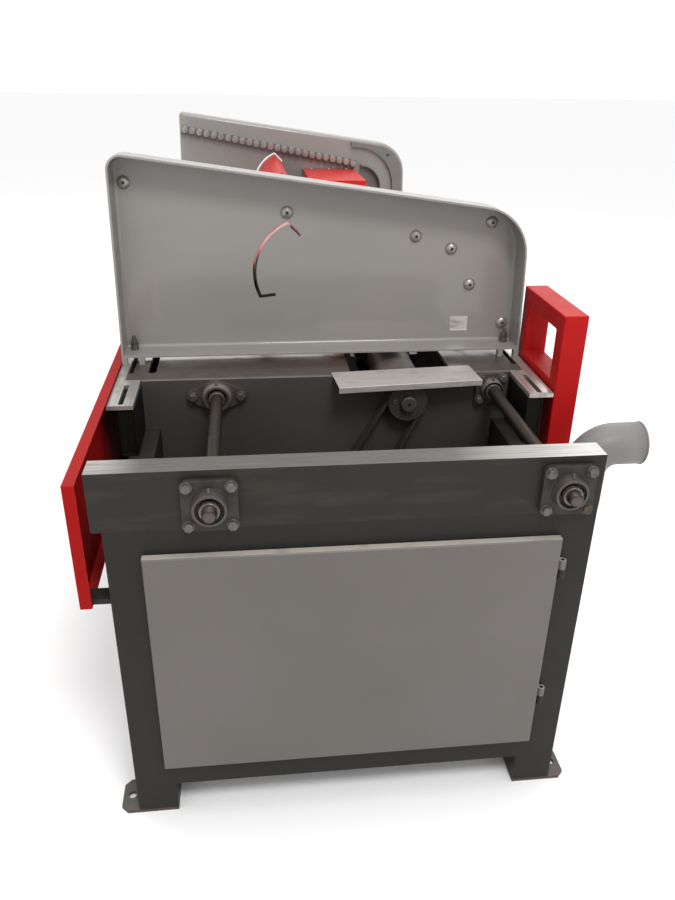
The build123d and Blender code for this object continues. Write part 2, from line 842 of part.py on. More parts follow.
def corner_guide():
    """Plate in the panel corner whose curved edge turns the boards down the chute."""
    y = (at(panel_behind) + panel_thickness, at(panel_behind) + panel_thickness + corner_thickness)
    middle = chute_outer_x - chute_outer_radius
    start = middle - corner_lead
    low = deck_top + corner_drop
    shape = offset(make_face(panel_outline(0)), -corner_margin)
    shape &= area((start, panel_half), (low, panel_bottom + panel_height))
    shape -= Pos(middle, chute_z) * Circle(chute_outer_radius)
    shape -= area((start, chute_outer_x), (low, chute_z))
    shape -= area((start, middle), (chute_z, chute_z + chute_outer_radius))
    return [plate(shape, y) - bolt_holes(edge_places(corner_bolts), y)]


def floor_guide():
    """Curved floor of the chute with its mounting web."""
    face = at(panel_behind) + panel_thickness
    middle = chute_inner_x - chute_inner_radius
    inner = chute_inner_x - chute_sheet
    quarter = area((middle, chute_inner_x), (chute_z, chute_z + chute_inner_radius))
    hollow = quarter & Pos(middle, chute_z) * Circle(inner - middle)
    floor = (quarter & Pos(middle, chute_z) * Circle(chute_inner_radius)) - hollow
    floor += area((inner, chute_inner_x), (chute_z - chute_drop, chute_z))
    web = plate(hollow + area((middle, inner), (chute_z - chute_web, chute_z)), (face, face + chute_sheet))
    guide = plate(floor, (face, face + chute_depth)) + web
    return [guide - bolt_holes(edge_places(chute_bolts), (face, face + chute_sheet))]


def panel_bolts(inset):
    """Round-head bolts through the panel and the two studs that hold its feet down."""
    face = at(panel_behind)
    washer = panel_washer / 2
    r = panel_bolt / 2
    end = face + panel_thickness + chute_sheet - 0.5
    head = [(0, face - 9), (7, face - 9), (9, face - 6), (9, face - 2)]
    first = turned(head + [(washer, face - 2), (washer, face), (r, face), (r, end), (0, end)], 0, 0)
    bolts = [Pos(x, 0, z) * first for x, z in bolt_places(inset)]
    shelf = panel_bottom + panel_thickness + gap
    r = hold_down_diameter / 2
    nut = shelf + hold_down_block + 3
    profile = [(0, deck_bottom + 2), (r, deck_bottom + 2), (r, shelf), (2 * r, shelf), (2 * r, nut), (0, nut)]
    for x in foot_places(inset):
        stud = revolve(Plane.XZ * make_face(Polyline(*profile, close=True)), Axis.Z)
        stud += Pos(0, 0, nut) * extrude(RegularPolygon(1.9 * r, 6), amount=2 * r)
        stud += Pos(0, 0, nut + 2 * r) * Cylinder(r, 2 * r, align=(Align.CENTER, Align.CENTER, Align.MIN))
        bolts.append(Pos(x, at(hold_down_behind), 0) * stud)
    return bolts


def curved_guard(guard):
    """Curved red guard beside the cutter; its front edge sits in the panel slit."""
    face = at(panel_behind)
    return [plate(trace(guard_path(guard, guard_radius, 1), guard_sheet), (face, face + guard_length))]


def cutter_hood():
    """Red box over the cutter, open below and toward the panel."""
    face = at(panel_behind) + panel_thickness
    x = (hood_left, hood_left + hood_width)
    z = (deck_top + hood_bottom, deck_top + hood_top)
    t = hood_sheet
    hood = block(x, (face, face + hood_length), z)
    return [hood - block((x[0] + t, x[1] - t), (face, face + hood_length - t), (z[0], z[1] - t))]


def guard_frame():
    """Red tube frame on the right with an open window above an infill sheet."""
    x = (beam_outer + frame_gap, beam_outer + frame_gap + frame_tube)
    y = (at(frame_behind), at(frame_behind + frame_run))
    inside = (y[0] + frame_member, y[1] - frame_member)
    frame = block(x, y, (frame_bottom, frame_top))
    frame -= block(x, inside, (frame_sill + frame_member / 2, frame_top - frame_member))
    return [frame - block((x[0] + hood_sheet, x[1]), inside, (frame_bottom, frame_sill - frame_member / 2))]


def left_apron():
    """Red pan along the whole left side, its flanges turned toward the machine."""
    x = (-beam_outer - apron_gap, apron_flange - beam_outer - apron_gap)
    t = hood_sheet
    pan = block(x, (at(0), -at(0)), (apron_bottom, apron_top))
    return [pan - block((x[0] + t, x[1]), (at(t), -at(t)), (apron_bottom + t, apron_top - t))]


def guard_brackets():
    """Spacer blocks that carry the red guards on the beams and the legs."""
    z = (beam_bottom + bracket_height, beam_bottom + 2 * bracket_height)
    inner = hood_sheet - beam_outer - apron_gap
    right = []
    for behind in (frame_behind + frame_run / 2, frame_behind + frame_run - bracket_width):
        right.append(block((beam_outer, beam_outer + frame_gap), (at(behind), at(behind + bracket_width)), z))
    left = []
    for behind in (beam_behind + beam_length / 4, beam_behind + beam_length - 3 * bracket_width):
        left.append(block((inner, -beam_outer), (at(behind), at(behind + bracket_width)), z))
    low = apron_bottom + hood_sheet
    left.append(block((inner, -half_width), (at(10), at(10 + bracket_height)), (low, low + 12)))
    return right + both_ends(left)


def dust_spouts():
    """Bent dust pipes on the right side, welded from straight tubes and two bends, with a wall collar."""
    r = spout_diameter / 2
    ring = Circle(r) - Circle(r - spout_wall)
    rise = (spout_low + spout_bend, spout_high - spout_bend)
    run = (spout_rise_x - spout_bend, spout_rise_x + spout_bend)
    across = Plane.YZ * ring
    inlet = Pos(half_width, 0, spout_low) * extrude(across, run[0] - half_width)
    collar = Circle(collar_diameter / 2) - Circle(r - spout_wall)
    inlet += Pos(half_width, 0, spout_low) * extrude(Plane.YZ * collar, collar_thickness)
    turn = TangentArc((run[0], 0, spout_low), (spout_rise_x, 0, rise[0]), tangent=(1, 0, 0))
    lower = sweep(Pos(run[0], 0, spout_low) * across, path=turn)
    riser = Pos(spout_rise_x, 0, rise[0]) * extrude(ring, rise[1] - rise[0])
    turn = TangentArc((spout_rise_x, 0, rise[1]), (run[1], 0, spout_high), tangent=(0, 0, 1))
    upper = sweep(Pos(spout_rise_x, 0, rise[1]) * ring, path=turn)
    outlet = Pos(run[1], 0, spout_high) * extrude(across, spout_end_x - run[1])
    return both_ends([Pos(0, at(spout_behind), 0) * piece for piece in (inlet, lower, riser, upper, outlet)])


def hinge_y():
    return at(0) - knuckle_diameter / 2 - 1


def doors():
    """Pan door with a bevelled front edge and the moving halves of its hinges."""
    x = (-door_width / 2, door_width / 2)
    y = (at(0) - door_depth, at(0) - 0.5)
    door = block(x, y, (door_bottom, door_top))
    door = chamfer(door.faces().sort_by(Axis.Y)[0].edges(), door_bevel)
    t = door_sheet
    inside = block((x[0] + t, x[1] - t), (y[0] + t + door_bevel, y[1]), (door_bottom + t, door_top - t))
    b = t + door_bevel
    inside += block((x[0] + b, x[1] - b), (y[0] + t, y[1]), (door_bottom + b, door_top - b))
    door -= inside
    r = knuckle_diameter / 2
    for height in hinge_heights:
        place = Pos(door_hinge_x, hinge_y(), height + (hinge_length / 2 + gap) / 2)
        long = hinge_length / 2 - gap
        z = (height + gap, height + hinge_length / 2)
        door += block((x[1] - t, door_hinge_x), (hinge_y() - 2, hinge_y() + 2), z)
        door += place * Cylinder(r, long)
        door -= place * Cylinder(hinge_pin / 2 + running, 2 * long)
    return [door]


def hinge_pins():
    """Fixed halves of the door hinges with their pins, welded to the legs."""
    pieces = []
    for height in hinge_heights:
        low = height - hinge_length / 2
        half = Cylinder(knuckle_diameter / 2, hinge_length / 2)
        half = Pos(door_hinge_x, hinge_y(), low + hinge_length / 4) * half
        half += block((door_hinge_x - 3, door_hinge_x + 10), (hinge_y(), at(0)), (low, height))
        half += Pos(door_hinge_x, hinge_y(), low + hinge_length / 2) * Cylinder(hinge_pin / 2, hinge_length)
        pieces.append(half)
    return both_ends(pieces)


for build in (
    legs, foot_plates, frame_rails, bearing_bars, side_beams, slide_rails, decks, inner_plates,
    cabinet_sheets,
    outer_bearing_housings, inner_bearing_housings, bearing_bolts, spindle_housings, motors, drive_belts,
    pulley_covers, feed_chains, chain_guides, feed_gearmotor, guard_frame, left_apron, guard_brackets,
    dust_spouts, hinge_pins,
):
    save(build.__name__, build())

for shaft, x in (("drive", drive_x), ("idle", idle_x)):
    save(f"{shaft}_shaft", feed_shaft(x))
    save(f"{shaft}_sprockets", sprockets(x))
    save(f"{shaft}_bearing_inserts", bearing_inserts(x))

ends = {
    "door": doors(),
    "spindle": spindle(),
    "spindle_pulley": pulley(spindle_x, spindle_z, spindle_pulley, spindle_diameter),
    "cutter_head": cutter_head(),
    "knives": knives(),
    "motor_shaft": motor_shafts(),
    "motor_pulley": pulley(motor_x, motor_z, motor_pulley, motor_shaft),
    "corner_guide": corner_guide(),
    "floor_guide": floor_guide(),
    "cutter_hood": cutter_hood(),
}
for name, shapes in ends.items():
    save(f"front_{name}", shapes)
    save(f"rear_{name}", rear(shapes))

for end, inset, guard in (("front", 0, guard_x), ("rear", slot_step, rear_guard_x)):
    panel = {
        "guide_panel": guide_panel(inset, guard),
        "roller_rail": roller_rail(inset),
        "rollers": rollers(inset),
        "panel_bolts": panel_bolts(inset),
        "curved_guard": curved_guard(guard),
    }
    for name, shapes in panel.items():
        save(f"{end}_{name}", shapes if end == "front" else rear(shapes))
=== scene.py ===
import json
import math

import bmesh
import bpy
from mathutils import Matrix, Vector


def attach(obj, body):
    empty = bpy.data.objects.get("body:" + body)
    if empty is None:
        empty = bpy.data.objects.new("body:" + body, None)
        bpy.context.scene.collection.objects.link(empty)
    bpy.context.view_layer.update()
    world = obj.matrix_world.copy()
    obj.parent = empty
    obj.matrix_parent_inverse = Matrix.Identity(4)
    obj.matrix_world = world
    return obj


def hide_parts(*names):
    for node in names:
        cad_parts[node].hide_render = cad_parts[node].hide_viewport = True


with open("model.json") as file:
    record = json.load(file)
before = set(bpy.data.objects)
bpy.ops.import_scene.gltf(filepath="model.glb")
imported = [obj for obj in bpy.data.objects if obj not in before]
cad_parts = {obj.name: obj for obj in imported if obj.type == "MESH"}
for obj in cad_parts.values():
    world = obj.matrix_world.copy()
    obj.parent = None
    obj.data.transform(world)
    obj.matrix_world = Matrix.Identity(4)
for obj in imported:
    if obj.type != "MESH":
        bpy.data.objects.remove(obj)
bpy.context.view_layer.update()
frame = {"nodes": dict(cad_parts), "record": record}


# Welded base: square tube legs and rails with side sheets and a floor of rolled steel.
# The joints are welded and ground flush, then the whole base gets one coat of dark grey enamel.
def linear(code):
    """An sRGB hex colour as the linear colour that shaders work in."""
    parts = [int(code[i : i + 2], 16) / 255 for i in (1, 3, 5)]
    return (*[c / 12.92 if c <= 0.04045 else ((c + 0.055) / 1.055) ** 2.4 for c in parts], 1.0)


def add(tree, kind, inputs=None, out=0, **settings):
    """A new node with its settings; an input is a value or the socket that feeds it. Gives one output."""
    node = tree.nodes.new(kind)
    for key, value in settings.items():
        setattr(node, key, value)
    for key, value in (inputs or {}).items():
        if isinstance(value, bpy.types.NodeSocket):
            tree.links.new(value, node.inputs[key])
        else:
            node.inputs[key].default_value = value
    return node.outputs[out] if node.outputs else None


def blank(name, roughness, metallic=0.0, shine=0.5):
    """A new material with its tree, its shader and the object coordinates."""
    material = bpy.data.materials.new(name)
    material.use_nodes = True
    tree = material.node_tree
    shader = tree.nodes["Principled BSDF"]
    shader.inputs["Roughness"].default_value = roughness
    shader.inputs["Metallic"].default_value = metallic
    shader.inputs["Specular IOR Level"].default_value = shine
    return material, tree, shader, add(tree, "ShaderNodeTexCoord", out="Object")


def lay_over(material, share, colour):
    """Lays a colour over what a finish shows so far, for dust, wear, dirt, painted light and painted shade;
    its share says where and how thickly.
    """
    tree = material.node_tree
    shown_colour = tree.nodes["Principled BSDF"].inputs["Base Color"]
    colours = {0: share, 6: shown_colour.links[0].from_socket, 7: colour}
    tree.links.new(add(tree, "ShaderNodeMix", colours, 2, data_type="RGBA"), shown_colour)


def enamel(name, colour, deep, worn, dust, roughness, shine=0.35, gloss=0.0):
    """Sprayed machine enamel: even colour with faint clouds, thin rubbed edges and a light orange peel."""
    material, tree, shader, place = blank(name, roughness, 0.0, shine)
    shader.inputs["Coat Weight"].default_value = gloss
    shader.inputs["Coat Roughness"].default_value = 0.1
    # Spray passes leave faint clouds about 300 mm wide.
    cloud = add(tree, "ShaderNodeTexNoise", {"Vector": place, "Scale": 1 / 0.3, "Detail": 3.0}, "Fac")
    share = add(tree, "ShaderNodeMapRange", {"Value": cloud, "From Min": 0.3, "From Max": 0.7})
    base = add(tree, "ShaderNodeMix", {0: share, 6: linear(deep), 7: linear(colour)}, 2, data_type="RGBA")
    tree.links.new(base, shader.inputs["Base Color"])
    # Workshop dust lies in patches about 60 mm wide on what faces up; on the doors it is laid so thick that
    # it stands for painted light on the top fold.
    normal = add(tree, "ShaderNodeNewGeometry", out="Normal")
    up = add(tree, "ShaderNodeSeparateXYZ", {"Vector": normal}, "Z")
    level = add(tree, "ShaderNodeMapRange", {"Value": up, "From Min": 0.7, "From Max": 1.0, "To Max": dust})
    patch = add(tree, "ShaderNodeTexNoise", {"Vector": place, "Scale": 1 / 0.06, "Detail": 5.0}, "Fac")
    lying = add(tree, "ShaderNodeMath", {0: level, 1: patch}, operation="MULTIPLY")
    lay_over(material, lying, linear("#A39C92"))
    # Paint is thin on edges: a line under 2 mm wide is rubbed through in spots about 9 mm long.
    round_edge = add(tree, "ShaderNodeBevel", {"Radius": 0.0018}, samples=4)
    turn = add(tree, "ShaderNodeVectorMath", {0: round_edge, 1: normal}, "Value", operation="DOT_PRODUCT")
    edge = add(tree, "ShaderNodeMapRange", {"Value": turn, "From Min": 0.985, "From Max": 0.86})
    spot = add(tree, "ShaderNodeTexNoise", {"Vector": place, "Scale": 1 / 0.009, "Detail": 4.0}, "Fac")
    gone = add(tree, "ShaderNodeMapRange", {"Value": spot, "From Min": 0.46, "From Max": 0.62, "To Max": 0.7})
    rub = add(tree, "ShaderNodeMath", {0: edge, 1: gone}, operation="MULTIPLY")
    lay_over(material, rub, linear(worn))
    rough = {"Value": patch, "To Min": roughness - 0.1, "To Max": roughness + 0.1}
    tree.links.new(add(tree, "ShaderNodeMapRange", rough), shader.inputs["Roughness"])
    # Real orange peel is about 1 mm wide; it is drawn at 3 mm so that it shows.
    peel = add(tree, "ShaderNodeTexNoise", {"Vector": place, "Scale": 1 / 0.003, "Detail": 2.0}, "Fac")
    bump = add(tree, "ShaderNodeBump", {"Strength": 0.05, "Distance": 0.0005, "Height": peel})
    tree.links.new(bump, shader.inputs["Normal"])
    return material


def soften(piece, angle=35):
    """Smooth shading with sharp edges kept."""
    piece.data.shade_smooth()
    piece.data.set_sharp_from_angle(angle=math.radians(angle))


def shown(name, mesh, material, body, replaced=()):
    """A new piece of the object on one body, standing for some CAD nodes."""
    piece = bpy.data.objects.new(name, mesh)
    bpy.context.scene.collection.objects.link(piece)
    mesh.materials.clear()
    mesh.materials.append(material)
    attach(piece, body)
    if replaced:
        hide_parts(*replaced)
    return piece


def body_of(node):
    """The body that carries a CAD node."""
    return next(b for b, nodes in frame["record"]["behaviour"]["bodies"].items() if node in nodes)


def round_edges(piece, radius, segments, angle):
    """A live bevel on the sharp edges; radius in metres."""
    bevel = piece.modifiers.new("rounded_edges", "BEVEL")
    bevel.width = radius
    bevel.segments = segments
    bevel.limit_method = "ANGLE"
    bevel.angle_limit = math.radians(angle)
    bevel.miter_outer = "MITER_ARC"
    normals = piece.modifiers.new("flat_faces", "WEIGHTED_NORMAL")
    normals.keep_sharp = True


def dress(node, material, edge, segments=2, angle=35):
    """A CAD node's shape with its edges rounded."""
    mesh = frame["nodes"][node].data.copy()
    shape = bmesh.new()
    shape.from_mesh(mesh)
    bmesh.ops.remove_doubles(shape, verts=shape.verts, dist=2e-5)
    bmesh.ops.dissolve_limit(shape, angle_limit=math.radians(0.4), verts=shape.verts, edges=shape.edges)
    shape.to_mesh(mesh)
    shape.free()
    piece = shown(f"{node}_finished", mesh, material, body_of(node), [node])
    soften(piece, angle)
    if edge:
        round_edges(piece, edge, segments, angle + 5)
    return piece


def blocks(name, size, centres):
    """A mesh of equal square-edged blocks; lengths in metres."""
    shape = bmesh.new()
    for centre in centres:
        place = Matrix.Translation(centre) @ Matrix.Diagonal((*size, 1.0))
        bmesh.ops.create_cube(shape, size=1.0, matrix=place)
    mesh = bpy.data.meshes.new(name)
    shape.to_mesh(mesh)
    shape.free()
    return mesh


# Near-black satin with paler worn edges: the base reads as one heavy form.
dark_enamel = enamel("dark_grey_enamel", "#23211F", "#1F1D1B", "#393633", 0.05, 0.5, 0.2)
for node in ("legs", "frame_rails"):
    dress(node, dark_enamel, 0.0003, 3)
for node, edge in (("cabinet_sheets", 0.0006), ("hinge_pins", 0.0006), ("guard_brackets", 0.001)):
    dress(node, dark_enamel, edge)
# Lips of the floor sheet that close the gap to the end rails.
lip_y, lip_level = 1.49475, 0.18785
lip_size = (0.799, 0.0685, 0.0055)
lips = blocks("floor_lips", lip_size, [(0.0, y, lip_level) for y in (-lip_y, lip_y)])
round_edges(shown("floor_lips", lips, dark_enamel, "base"), 0.0006, 2, 40)


# Side beams: box beams under the decks, their ends closed by welded plates.
# Painted shade: beams and end plates are drawn near black, for the shade that fills the wells,
# so that they sink into the dark there.
well_shade_enamel = enamel("shaded_beam_enamel", "#151211", "#120F0E", "#1C1918", 0.0, 0.6, 0.12)
dress("side_beams", well_shade_enamel, 0.002, 3)
beam_x, beam_level = 0.486, 0.79
beam_ends = (-1.1535, -0.4545, 0.4545, 1.1535)
cap_size = (0.03, 0.003, 0.11)
cap_centres = [(x, y, beam_level) for x in (-beam_x, beam_x) for y in beam_ends]
shown("beam_caps", blocks("beam_caps", cap_size, cap_centres), well_shade_enamel, "base")


# Inner plates: thick upright plates that carry the inner bearings, sprayed with the base.
# Painted light: they get a paler copy of the base paint, as the plates catch more light; dust lies on their
# tops.
lit_plate_enamel = enamel("dusty_lit_plate_enamel", "#44413E", "#3B3936", "#6E6962", 0.4, 0.6, 0.25)
dress("inner_plates", lit_plate_enamel, 0.001)


# Foot plates: sawn flat steel under the legs, painted with the base and scuffed by the floor.
# Their outer ears have plain holes for the floor anchors.
foot_enamel = enamel("scuffed_foot_enamel", "#4A403C", "#403733", "#8C837C", 0.3, 0.6)
dress("foot_plates", foot_enamel, 0.001)


# End bars: steel channels across the legs, enamelled in front, with the top rubbed to bare steel
# where boards and hands slide over it.
def bar_finish():
    """Dark enamel whose upward face is worn through to drawn steel, with a painted highlight near its ends.
    """
    material = enamel("rubbed_bar_enamel", "#252321", "#211F1D", "#3A3734", 0.0, 0.5, 0.22)
    tree = material.node_tree
    place = add(tree, "ShaderNodeTexCoord", out="Object")
    up = add(tree, "ShaderNodeSeparateXYZ", {"Vector": add(tree, "ShaderNodeNewGeometry", out="Normal")}, "Z")
    # Scratches from sliding boards: 150 mm long and 3 mm wide, along the bar.
    drawn = add(tree, "ShaderNodeMapping", {"Vector": place, "Scale": (1 / 0.15, 1 / 0.003, 1.0)})
    lines = add(tree, "ShaderNodeTexNoise", {"Vector": drawn, "Scale": 1.0, "Detail": 4.0}, "Fac")
    share = add(tree, "ShaderNodeMapRange", {"Value": lines, "From Min": 0.3, "From Max": 0.7})
    steel = {0: share, 6: linear("#5D5A57"), 7: linear("#726F6C")}
    steel = add(tree, "ShaderNodeMix", steel, 2, data_type="RGBA")
    # Painted highlight: near-white streaks on the right-hand 300 mm and the last 70 mm on the left, where the
    # lamps glint on the bare top.
    across = add(tree, "ShaderNodeSeparateXYZ", {"Vector": place}, "X")
    right_glint = add(tree, "ShaderNodeMapRange", {"Value": across, "From Min": 0.19, "From Max": 0.47})
    left_glint = {"Value": across, "From Min": -0.41, "From Max": -0.48, "To Max": 0.55}
    left_glint = add(tree, "ShaderNodeMapRange", left_glint)
    ends = add(tree, "ShaderNodeMath", {0: right_glint, 1: left_glint}, operation="MAXIMUM")
    bright = add(tree, "ShaderNodeMath", {0: ends, 1: lines}, operation="MULTIPLY")
    steel = {0: bright, 6: steel, 7: linear("#F2F0EC")}
    steel = add(tree, "ShaderNodeMix", steel, 2, data_type="RGBA")
    # Greasy hands leave brownish smears, about 140 mm long and 30 mm high, on the painted face.
    wide = add(tree, "ShaderNodeMapping", {"Vector": place, "Scale": (1 / 0.14, 1.0, 1 / 0.03)})
    smear = add(tree, "ShaderNodeTexNoise", {"Vector": wide, "Scale": 1.0, "Detail": 4.0}, "Fac")
    smear = {"Value": smear, "From Min": 0.5, "From Max": 0.72, "To Max": 0.5}
    smear = add(tree, "ShaderNodeMapRange", smear)
    lay_over(material, smear, linear("#39322A"))
    bare = add(tree, "ShaderNodeMapRange", {"Value": up, "From Min": 0.9, "From Max": 0.97})
    lay_over(material, bare, steel)
    metal = add(tree, "ShaderNodeMath", {0: bare, 1: 0.5}, operation="MULTIPLY")
    tree.links.new(metal, tree.nodes["Principled BSDF"].inputs["Metallic"])
    return material


dress("bearing_bars", bar_finish(), 0.0003)


# Decks and slotted slide rails: flat steel plate, flame-cut slots, planed and left bare.
# The decks are dull and dusty, with a painted reflection under the panels' feet; the rails are rubbed bright
# by the sliding feet.
def bare_steel(name, bright, dull, stain, roughness, along, metallic=0.75):
    """Bare steel with fine drawn lines along one axis and a few dull stains."""
    material, tree, shader, place = blank(name, roughness, metallic)
    # Drawing lines are well under 1 mm; they are drawn 3 mm wide and 160 mm long so that they show.
    sizes = [1 / 0.003] * 3
    sizes[along] = 1 / 0.16
    drawn = add(tree, "ShaderNodeMapping", {"Vector": place, "Scale": sizes})
    lines = add(tree, "ShaderNodeTexNoise", {"Vector": drawn, "Scale": 1.0, "Detail": 3.0}, "Fac")
    share = add(tree, "ShaderNodeMapRange", {"Value": lines, "From Min": 0.3, "From Max": 0.7})
    base = add(tree, "ShaderNodeMix", {0: share, 6: linear(dull), 7: linear(bright)}, 2, data_type="RGBA")
    tree.links.new(base, shader.inputs["Base Color"])
    # Stains of oil and first rust, about 50 mm wide.
    patch = add(tree, "ShaderNodeTexNoise", {"Vector": place, "Scale": 1 / 0.05, "Detail": 6.0}, "Fac")
    stained = add(tree, "ShaderNodeMapRange", {"Value": patch, "From Min": 0.55, "From Max": 0.75})
    lay_over(material, stained, linear(stain))
    rough = add(tree, "ShaderNodeMath", {0: stained, 1: 0.25, 2: roughness}, operation="MULTIPLY_ADD")
    tree.links.new(rough, shader.inputs["Roughness"])
    bump = add(tree, "ShaderNodeBump", {"Strength": 0.1, "Distance": 0.0004, "Height": lines})
    tree.links.new(bump, shader.inputs["Normal"])
    return material


def deck_finish():
    """Dull dusty steel with a painted reflection: a pale band on the left, under the panels' feet."""
    material = bare_steel("dull_deck_steel", "#6A635E", "#5A534F", "#5A5049", 0.3, 0, 0.6)
    tree = material.node_tree
    place = add(tree, "ShaderNodeTexCoord", out="Object")
    along = add(tree, "ShaderNodeSeparateXYZ", {"Vector": place}, "Y")
    along = add(tree, "ShaderNodeMath", {0: along}, operation="ABSOLUTE")
    # Painted reflection: the pale band ends 860 mm from the middle, and runs from the left edge to the
    # cut-out.
    sheen_lane = add(tree, "ShaderNodeMapRange", {"Value": along, "From Min": 0.864, "From Max": 0.85})
    across = add(tree, "ShaderNodeSeparateXYZ", {"Vector": place}, "X")
    sheen_side = add(tree, "ShaderNodeMapRange", {"Value": across, "From Min": 0.2, "From Max": -0.1})
    deck_sheen = add(tree, "ShaderNodeMath", {0: sheen_lane, 1: sheen_side}, operation="MULTIPLY")
    # Inside of the panels, less than 770 mm from the middle, the painted reflection fades almost away.
    sheen_fade = {"Value": along, "From Min": 0.765, "From Max": 0.785, "To Min": 0.08}
    sheen_fade = add(tree, "ShaderNodeMapRange", sheen_fade)
    deck_sheen = add(tree, "ShaderNodeMath", {0: deck_sheen, 1: sheen_fade}, operation="MULTIPLY")
    lay_over(material, deck_sheen, linear("#E8E5E0"))
    return material


# Pale drawn steel: the rails are the brightest lines beside the dark well.
rail_steel = bare_steel("rubbed_rail_steel", "#C8C3BE", "#A5A09A", "#948B82", 0.32, 1)
dress("decks", deck_finish(), 0.0008)
dress("slide_rails", rail_steel, 0.0008)


# Flanged bearings: grey iron castings, square on the bars, oblong and small square on the inner plates.
# Each is sand-cast, bored and thinly painted, with hex bolts in the corners and a grease nipple on top.
def turned(shape, profile, sides, place=Matrix()):
    """Adds a form turned round Z and moved to its place; the profile is radius and height, 0 closes it."""
    rings = []
    for radius, level in profile:
        count = sides if radius else 1
        turns = [math.tau * i / count for i in range(count)]
        ring = [Vector((radius * math.cos(a), radius * math.sin(a), level)) for a in turns]
        rings.append([shape.verts.new(place @ point) for point in ring])
    for low, high in zip(rings, rings[1:]):
        for i in range(sides):
            j = (i + 1) % sides
            corners = [low[i % len(low)], low[j % len(low)], high[j % len(high)], high[i % len(high)]]
            corners = list(dict.fromkeys(corners))
            if len(corners) > 2:
                shape.faces.new(corners)


def slab(shape, outline, low, high):
    """Adds a flat plate with an XY outline to a bmesh."""
    rings = [[shape.verts.new((x, y, level)) for x, y in outline] for level in (low, high)]
    shape.faces.new(reversed(rings[0]))
    shape.faces.new(rings[1])
    for i in range(len(outline)):
        j = (i + 1) % len(outline)
        shape.faces.new((rings[0][i], rings[0][j], rings[1][j], rings[1][i]))


def arc(x, y, radius, start, end, count=8):
    """Points on an arc, in degrees."""
    turns = [math.radians(start + (end - start) * i / (count - 1)) for i in range(count)]
    return [(x + radius * math.cos(a), y + radius * math.sin(a)) for a in turns]


def square_outline(side, corner):
    """A square with rounded corners."""
    reach = side / 2 - corner
    corners = ((reach, reach, 0), (-reach, reach, 90), (-reach, -reach, 180), (reach, -reach, 270))
    return [point for x, y, turn in corners for point in arc(x, y, corner, turn, turn + 90)]


def master(name, shape):
    """A mesh object, not yet placed, from a bmesh."""
    bmesh.ops.remove_doubles(shape, verts=shape.verts, dist=1e-7)
    bmesh.ops.recalc_face_normals(shape, faces=shape.faces)
    mesh = bpy.data.meshes.new(name)
    shape.to_mesh(mesh)
    shape.free()
    return bpy.data.objects.new(name, mesh)


def copies_tree():
    """Copies of one master on points, each turned to the direction that the point faces."""
    tree = bpy.data.node_groups.new("placed_copies", "GeometryNodeTree")
    for name, kind in (
        ("Places", "NodeSocketGeometry"),
        ("Master", "NodeSocketObject"),
        ("Size", "NodeSocketFloat"),
        ("Loose Turn", "NodeSocketFloat"),
        ("Seed", "NodeSocketInt"),
        ("Finish", "NodeSocketMaterial"),
    ):
        tree.interface.new_socket(name, in_out="INPUT", socket_type=kind)
    tree.interface.new_socket("Copies", in_out="OUTPUT", socket_type="NodeSocketGeometry")
    given = tree.nodes.new("NodeGroupInput").outputs
    facing = add(tree, "GeometryNodeInputNamedAttribute", {"Name": "facing"}, data_type="FLOAT_VECTOR")
    aim = add(tree, "FunctionNodeAlignRotationToVector", {"Vector": facing}, axis="Z")
    loose = add(tree, "FunctionNodeRandomValue", {2: 0.0, 3: given["Loose Turn"], 8: given["Seed"]}, 1)
    spin = add(tree, "FunctionNodeAxisAngleToRotation", {"Axis": (0.0, 0.0, 1.0), "Angle": loose})
    turn = add(tree, "FunctionNodeRotateRotation", {0: aim, 1: spin}, rotation_space="LOCAL")
    shape = add(tree, "GeometryNodeObjectInfo", {"Object": given["Master"]}, "Geometry")
    placed = {"Points": given["Places"], "Instance": shape, "Rotation": turn, "Scale": given["Size"]}
    placed = add(tree, "GeometryNodeInstanceOnPoints", placed)
    real = add(tree, "GeometryNodeRealizeInstances", {"Geometry": placed})
    done = add(tree, "GeometryNodeSetMaterial", {"Geometry": real, "Material": given["Finish"]})
    add(tree, "NodeGroupOutput", {"Copies": done})
    return tree


def evaluated(tree, start, values):
    """The plain mesh that a node tree makes from a starting mesh."""
    holder = bpy.data.objects.new("holder", start)
    bpy.context.scene.collection.objects.link(holder)
    modifier = holder.modifiers.new("nodes", "NODES")
    modifier.node_group = tree
    for item in tree.interface.items_tree:
        if item.in_out == "INPUT" and item.name in values:
            modifier[item.identifier] = values[item.name]
    graph = bpy.context.evaluated_depsgraph_get()
    mesh = bpy.data.meshes.new_from_object(holder.evaluated_get(graph))
    holder.modifiers.remove(modifier)
    bpy.data.objects.remove(holder)
    return mesh


def copies(thing, places, size, material, loose=0.0):
    """A plain mesh with one copy of a master for each point and facing."""
    bpy.context.scene.collection.objects.link(thing)
    start = bpy.data.meshes.new("places")
    start.from_pydata([place for place, facing in places], [], [])
    facings = start.attributes.new("facing", "FLOAT_VECTOR", "POINT")
    facings.data.foreach_set("vector", [value for place, facing in places for value in facing])
    values = {"Master": thing, "Size": size, "Loose Turn": loose, "Seed": 7, "Finish": material}
    mesh = evaluated(placed_copies, start, values)
    bpy.context.scene.collection.objects.unlink(thing)
    return mesh


def joined(name, meshes):
    """Several meshes as one."""
    shape = bmesh.new()
    for mesh in meshes:
        shape.from_mesh(mesh)
    result = bpy.data.meshes.new(name)
    shape.to_mesh(result)
    shape.free()
    return result


def off_face(tree, place):
    """How far a point lies off the face that its bearing is bolted to, 1010 or 1550 mm from the middle."""
    along = add(tree, "ShaderNodeSeparateXYZ", {"Vector": place}, "Y")
    along = add(tree, "ShaderNodeMath", {0: along}, operation="ABSOLUTE")
    beyond = add(tree, "ShaderNodeMath", {0: along, 1: 1.01}, operation="SUBTRACT")
    return add(tree, "ShaderNodeMath", {0: beyond, 1: 0.54}, operation="MODULO")


